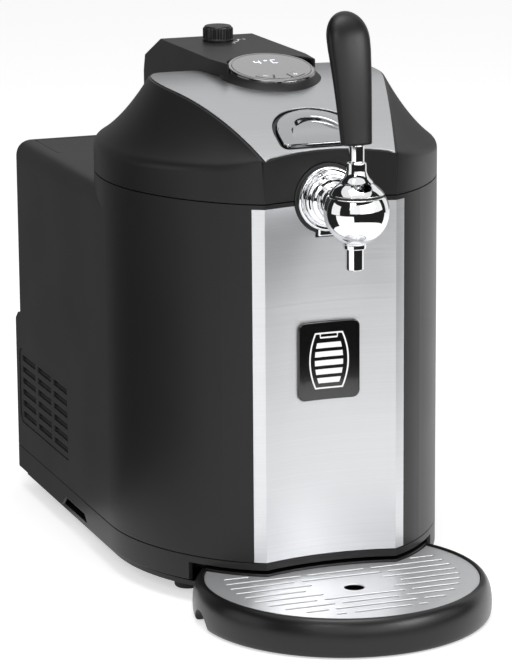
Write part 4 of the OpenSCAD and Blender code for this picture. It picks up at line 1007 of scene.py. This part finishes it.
button = linked("release_button_face", bm)
button.data.transform(Matrix.Diagonal((MM, MM, MM, 1)))
carve(button, prism("outline tool", release_outline(-0.2, 5.0), SEAM_Z, ABOVE), how="INTERSECT")
hand_over(eased(button, 0.9, 3, angle=55, flat=0.05), satin_chrome, "release", "chrome", "release_button")
well = prism("release_frame", release_outline(3.7, 6.0), SEAM_Z + 30, SEAM_Z + 160)
carve(well, under_arch("arch tool", 2 * SHEET), how="INTERSECT")
carve(well, prism("well tool", release_outline(0.5, 5.4), SEAM_Z + 34, ABOVE))
hand_over(eased(well, 0.4, 2, angle=50, flat=0.05), inner_plastic, "lid", "black_plastic", "release_well")

# %% [markdown]
# The badge is a thick glossy plate, bent to the hollow of the panel, with a rolled edge. Its sign is a
# plain keg with five bars, as on any level gauge. Its lines are thin raised shapes, bent to the same
# curve as the plate, so that they need no image.

# %% Badge
BADGE_FACE_R = HOLLOW_R - 2.6
SIGN_UP, SIGN_SUNK, SIGN_LINE = 0.12, 0.02, 1.25
KEG_H, KEG_RIM, KEG_W, KEG_BULGE = 22, 22.2, 16.2, 5.2
BARS_INSIDE, BAR_LOW, BAR_HIGH, BAR_PITCH, BAR_INSET = 5, -18.2, -13.9, 7.1, 4.2
ease_node("badge_plate", 1.3, badge_gloss, "housing", "badge", steps=4)


def on_badge(name, outline):
    """A flat shape (x to the right, z up, from the badge's middle) laid on its curved face."""
    return solid(name, [[(x, -HOLLOW_Y + sqrt(BADGE_FACE_R**2 - x * x) - lift, BADGE_Z + z)
        for x, z in outline] for lift in (-SIGN_SUNK, SIGN_UP)])


def flank(z):
    """Half width of the keg's outline at height z."""
    return KEG_W - KEG_BULGE * (z / 23) ** 2


keg_side = [(flank(z), z) for z in spread(-KEG_H, 2 * KEG_H, 22)]
rim_end = flank(KEG_H) + 0.4
sign = [on_badge("outline", stroke(part, SIGN_LINE)) for part in (
    [(-x, z) for x, z in keg_side], keg_side,
    *([(x, z) for x in (-rim_end, -5, 5, rim_end)] for z in (KEG_RIM, -KEG_RIM)),
    [(-7.2, KEG_H), (-7.2, 18.7), (7.2, 18.7), (7.2, KEG_H)])]
for k in range(BARS_INSIDE):
    low, high = BAR_LOW + k * BAR_PITCH, BAR_HIGH + k * BAR_PITCH
    w0, w1 = flank(low) - BAR_INSET, flank(high) - BAR_INSET
    sign.append(on_badge("bar", [(-w0, low), (-w0 / 3, low), (w0 / 3, low), (w0, low),
        (w1, high), (w1 / 3, high), (-w1 / 3, high), (-w1, high)]))
hand_over(joined("badge_sign", sign), white_print, "housing", "badge")

# %% [markdown]
# The tap is the brightest thing in the picture, so its chrome has to be smooth. Lathe profiles with small
# radii do all of it, and every radius gives the chrome one more line of light. The lists give the
# radius and the height of each point in millimetres.

# %% Tap flange
BORE_R, MOUNT_Y = 8.1, -FRONT_Y - 2.3
TAB_W, TAB_H, TAB_DROP = 17.2, 22, 18.6
NECK_L = BALL_Y - BALL_R - 2.2 - (FRONT_Y + 2.1) - 0.4
FLANGE = [(BORE_R, 0), (25.4, 0), (25.8, 0.5), (25.8, 1.6), (25.5, 2.6), (24.8, 3.6), (23.8, 4.1),
    (22.8, 4.1), (22.0, 3.6), (21.5, 3.4), (21.1, 3.8), (20.9, 7.2), (20.5, 8.0), (19.6, 8.5), (18.6, 8.7),
    (18.1, 9.1), (17.9, 12.2), (17.3, 13.1), (15.9, 13.6), (14.9, 14.3), (14.5, 15.6),
    (14.5, NECK_L - 0.6), (14.1, NECK_L), (BORE_R, NECK_L), (BORE_R, 0)]
TAB_EDGE = [(0, 0), (0.8, 0), (2.0, 2.4)]  # distance from the wall, what the outline loses there
flange = turned("flange_turned", FLANGE, 128, at(0, MOUNT_Y, TAP_Z) @ spun(90, "X"))
carve(flange, solid("tab", [[(x, MOUNT_Y - z, TAP_Z - TAB_DROP + y) for x, y in rounded(
    TAB_W - less, TAB_H - less, 1.4)] for z, less in TAB_EDGE]), how="UNION")
hand_over(eased(flange, 0, angle=40, flat=0.05), chrome, "housing", "chrome", "tap_flange")
ease_node("tap_shank", 0.3, chrome, "housing", "chrome")

# %% [markdown]
# The ball is cut level and closed by a domed cap, with a dark joint between them. A slot for the lever's
# swing is cut from all three, so that the stem never meets them.

# %% Tap ball, cap and nozzle
CAP_UP, JOINT_R, SPOUT_Y = 13, 21.0, -BALL_Y + 4
COLLAR_TO_WALL = [(0, 0), (19.2, 0), (19.2, 18.6), (18.7, 19.6), (16.6, 21.4), (15.6, 22.4), (15.3, 24),
    (15.3, 26.9), (14.8, 27.4), (0, 27.4)]
SPOUT = [(0, -26), (9.0, -26), (9.6, -25.4), (9.6, -16), (0, -16)]
NOZZLE = [(5.2, -46), (6.4, -46), (7.1, -45.2), (7.1, -29.6), (8.8, -29.2), (9.1, -28.6), (9.1, -25.6),
    (8.8, -25.0), (7.2, -24.6), (7.2, -14), (5.2, -14), (5.2, -46)]
JOINT = [(10, CAP_UP - 0.6), (JOINT_R, CAP_UP - 0.6), (JOINT_R, CAP_UP + 1.2), (10, CAP_UP + 1.2),
    (10, CAP_UP - 0.6)]
BALL_ROWS, BALL_STEPS = 72, 144
SLOT_R, SLOT_LEAN, SLOT_HEIGHTS = 7.0, 32, (4, 54)
ball_at, spout_at = at(0, -BALL_Y, TAP_Z), at(0, SPOUT_Y, TAP_Z)


def ball(name, r):
    half = [polar(r, a) for a in spread(0, pi, BALL_ROWS)]
    return turned(name, [(y, -x) for x, y in half], BALL_STEPS, ball_at)


def slab(name, low, high):
    """All that lies round the ball between two heights above the tap's axis."""
    return box(name, (-40, 40), (-BALL_Y - 60, -BALL_Y + 60), (TAP_Z + low, TAP_Z + high))


def lever_slot(r=SLOT_R, lean=SLOT_LEAN):
    """The space that the lever's stem sweeps when it leans forwards."""
    half = [polar(r, a) for a in spread(0, pi, 12)]
    ring = half + [(-x, -y) for x, y in half]
    rings = []
    for height in SLOT_HEIGHTS:
        reach = height * tan(radians(lean))
        rings.append([(x, -BALL_Y + (y if y >= 0 else y - reach), TAP_Z + height) for x, y in ring])
    return solid("slot tool", rings)


body = ball("tap_ball", BALL_R)
carve(body, turned("collar", COLLAR_TO_WALL, 96, ball_at @ spun(-90, "X")),
    turned("spout", SPOUT, 64, spout_at), how="UNION")
carve(body, slab("cap tool", CAP_UP - 0.5, 60), lever_slot())
hand_over(eased(body, 0.7, 3, angle=34, flat=0.05), chrome, "housing", "chrome", "tap_body")
cap = carve(ball("tap_cap_dome", BALL_R + 0.5), slab("under tool", -60, CAP_UP + 1.1), lever_slot())
hand_over(eased(cap, 0.6, 3, angle=40, flat=0.05), chrome, "housing", "chrome", "tap_cap")
joint = carve(turned("cap_joint", JOINT, 96, ball_at), lever_slot(SLOT_R + 0.6, SLOT_LEAN + 6))
hand_over(eased(joint, 0, angle=40), inner_plastic, "housing", "rubber")
nozzle = turned("nozzle_tube", NOZZLE, 64, spout_at)
hand_over(eased(nozzle, 0, angle=40), chrome, "housing", "chrome", "tap_nozzle")

# %% [markdown]
# The stem widens softly where it enters the cap and ends in a spigot that the paddle sits on. Its lower
# end turns on the lever's axle inside the ball.

# %% Lever stem
STEM = [(0, -4), (6.6, -4), (6.6, 20), (12.6, 22.2), (13.0, 23.2), (12.2, 24.6), (10.2, 26.6), (8.8, 28.8),
    (8.0, 31.0), (7.7, 33.0), (7.7, 37.4), (7.4, 38.1), (6.5, 38.5), (6.1, 39.0), (6.0, 39.8), (6.0, 51.2),
    (5.7, 51.8), (4.0, 51.8), (4.0, 55), (0, 55)]
skirt = carve(turned("lever_turned", STEM, 72, ball_at), ball("ball tool", BALL_R + 0.9))
inside = turned("inside", [(0, -4), (6.6, -4), (6.6, 30), (0, 30)], 72, ball_at)
pin = turned("pin", [(0, -10), (9, -10), (9, 10), (0, 10)], 64, ball_at @ spun(90, "Y"))
stem = joined("lever_turned", [skirt, carve(inside, pin, how="UNION")])
hand_over(eased(stem, 0, angle=38, flat=0.05), chrome, "lever", "chrome", "lever_stem")

# %% [markdown]
# The paddle is one smooth form: narrow and flat at its foot, wide and thick towards the round top,
# leaning back a little. Its sections follow the same rule as in the CAD model, only on many more rings,
# and the top closes in a dome.

# %% Paddle
FOOT_W, FOOT_T, DOME_FROM, WIDEST_AT = 12.5, 5.5, 0.78, 0.72
PADDLE_SIDES, SQUARENESS, BEND = 64, 0.8, 9


def paddle_ring(t):
    """Section of the paddle at the share t of its length."""
    end = 1 if t < DOME_FROM else sqrt(max(0, 1 - ((t - DOME_FROM) / (1 - DOME_FROM)) ** 2.2))
    end = max(end, 0.02)
    taper = 1 if t < WIDEST_AT else WIDEST_AT / t
    w = (FOOT_W + (HANDLE_W / 2 - FOOT_W) * (t / WIDEST_AT) ** 1.1 * taper) * end
    d = (FOOT_T + (HANDLE_T / 2 - FOOT_T) * t**1.6) * end
    shift = tan(radians(HANDLE_LEAN)) * t * HANDLE_L + BEND * t**3
    ring = []
    for c, s in disc(1, steps=PADDLE_SIDES):
        x, y = w * copysign(abs(c) ** SQUARENESS, c), d * copysign(abs(s) ** SQUARENESS, s)
        ring.append((x, -BALL_Y + y + shift, HANDLE_Z + t * HANDLE_L))
    return ring


def inset_ring(ring, by, lift):
    """A ring drawn in towards its middle, for the soft edge of the foot."""
    middle = sum(y for _, y, _ in ring) / len(ring)
    return [(x * (1 - by / 12), middle + (y - middle) * (1 - by / 6), z + lift) for x, y, z in ring]


foot = paddle_ring(0.0)
shares = [0.012] + spread(0.02, 0.76, 24)
shares += [DOME_FROM + 0.22 * sin(TAU / 4 * k / 16) for k in range(1, 17)]
paddle = solid("paddle", [inset_ring(foot, 0.9, 0.0), inset_ring(foot, 0.25, 0.35)]
    + [paddle_ring(t) for t in shares])
hand_over(eased(paddle, 0, angle=50, flat=0.02), handle_plastic, "lever", "handle_plastic", "tap_handle")

# %% [markdown]
# The drip tray is a round shallow dish with a full, rounded side, cut straight at the rear. A half-round
# notch on each side lets fingers take hold of it. The plate lies on a ledge inside the rim; its slots
# are pressed, so each has a small rolled edge.

# %% Drip tray and plate
SEAT_Z, FLOOR_Z, LEDGE_W = TRAY_TOP - 4, 5, 5.5
TRAY_SIDE = [(0, 1), (115.6, 1), (117.2, 1.6), (118.3, 3.2), (118.8, 5.5), (119.0, 9.0), (119.0, 12.5),
    (118.8, 16.0), (118.3, 19.5), (117.5, 22.6), (116.4, 25.4), (115.1, 27.7), (113.6, 29.4), (112.2, 30.4),
    (111.2, 30.8), (110.2, 30.9), (109.0, 30.8), (0, 30.8)]
NOTCH_X, NOTCH_Z, NOTCH = 115.5, -2, [(0, -8), (16, -8), (16, 8), (0, 8)]


def front_outline(grow):
    """The body's plan with its hollow front."""
    ring = [oval(a, grow) for a in spread(CREASE_A, ROUND, 160)]
    return ring + [hollow(x, grow) for x in spread(-CREASE_X, 2 * CREASE_X, ACROSS)[1:-1]]


def seat(name, inset, low, high):
    """Round seat of the plate, kept in front of the body and of the straight rear wall."""
    made = prism(name, disc(GRID_R - inset, 0, -TRAY_Y, 160), low, high)
    return carve(made, prism("body tool", front_outline(0.6 + inset), low - 5, high + 5),
        box("rear tool", (-150, 150), (-TRAY_REAR - 4 - inset, 60), (low - 5, high + 5)))


tray = turned("tray_dish", TRAY_SIDE, 192, at(0, -TRAY_Y))
carve(tray, box("rear tool", (-150, 150), (-TRAY_REAR, 60), (-5, 60)), seat("seat", 0, SEAT_Z, 60),
    seat("basin", LEDGE_W, FLOOR_Z, 60))
for sx in (-1, 1):
    carve(tray, turned("notch", NOTCH, 48, at(sx * NOTCH_X, -TRAY_Y + 4, NOTCH_Z) @ spun(90, "Y")))
hand_over(eased(tray, 0.5, 3, angle=40, flat=0.05), tray_plastic, "tray", "tray_plastic", "drip_tray")
ease_node("drip_plate", 0.55, plate_steel, "grid", "brushed_steel", steps=3, angle=50)

# %% [markdown]
# Behind each side grille slanting louvres keep fingers and splashes out. One louvre is repeated in the
# grid pattern, and so is one cross-head screw on the rear cover.

# %% Louvres and screws
VENT_Y, VENT_Z, VENT_PITCH, VENT_H, BOX_REAR = 189, 98, 48, 62, 266
BLADE_W, BLADE_T, BLADE_LEVELS = 21.5, 0.8, [(-2.2, -2.4), (1.2, 0.2), (1.8, 1.6)]
SCREW_X, SCREW_LOW, SCREW_HIGH = 92, 181, 291
SCREW = [(0, -0.4), (3.6, -0.4), (3.6, 0.2), (3.312, 0.7), (2.52, 1.1), (1.44, 1.3), (0, 1.4)]
SLOT_L, SLOT_W = (-2.2, 2.2), (-0.45, 0.45)
for side_name, sx in (("left", -1), ("right", 1)):
    blade = solid("louvres_" + side_name, [[(-BLADE_W, y, z), (BLADE_W, y, z), (BLADE_W, y + BLADE_T, z),
        (-BLADE_W, y + BLADE_T, z)] for y, z in BLADE_LEVELS])
    turn = at(sx * (HALF_W - 4.4), VENT_Y, VENT_Z) @ spun(90, "Z") @ spun(90, "X")
    repeated(blade, grid_of, inner_plastic, turn, Columns=3, Rows=6,
        Column_pitch=VENT_PITCH * MM, Row_pitch=VENT_H / 6 * MM)
    hand_over(blade, inner_plastic, "housing", "dark_plastic")
screws = carve(turned("rear_screw_heads", SCREW, 32),
    box("arm", SLOT_L, SLOT_W, (0.5, 3)), box("arm", SLOT_W, SLOT_L, (0.5, 3)))
repeated(screws, grid_of, bright_steel,
    at(0, BOX_REAR - 0.75, (SCREW_LOW + SCREW_HIGH) / 2) @ spun(-90, "X"),
    Columns=2, Rows=2, Column_pitch=2 * SCREW_X * MM, Row_pitch=(SCREW_HIGH - SCREW_LOW) * MM)
hand_over(eased(screws, 0, angle=35, flat=0), bright_steel, "housing", "steel", "cover_screws")
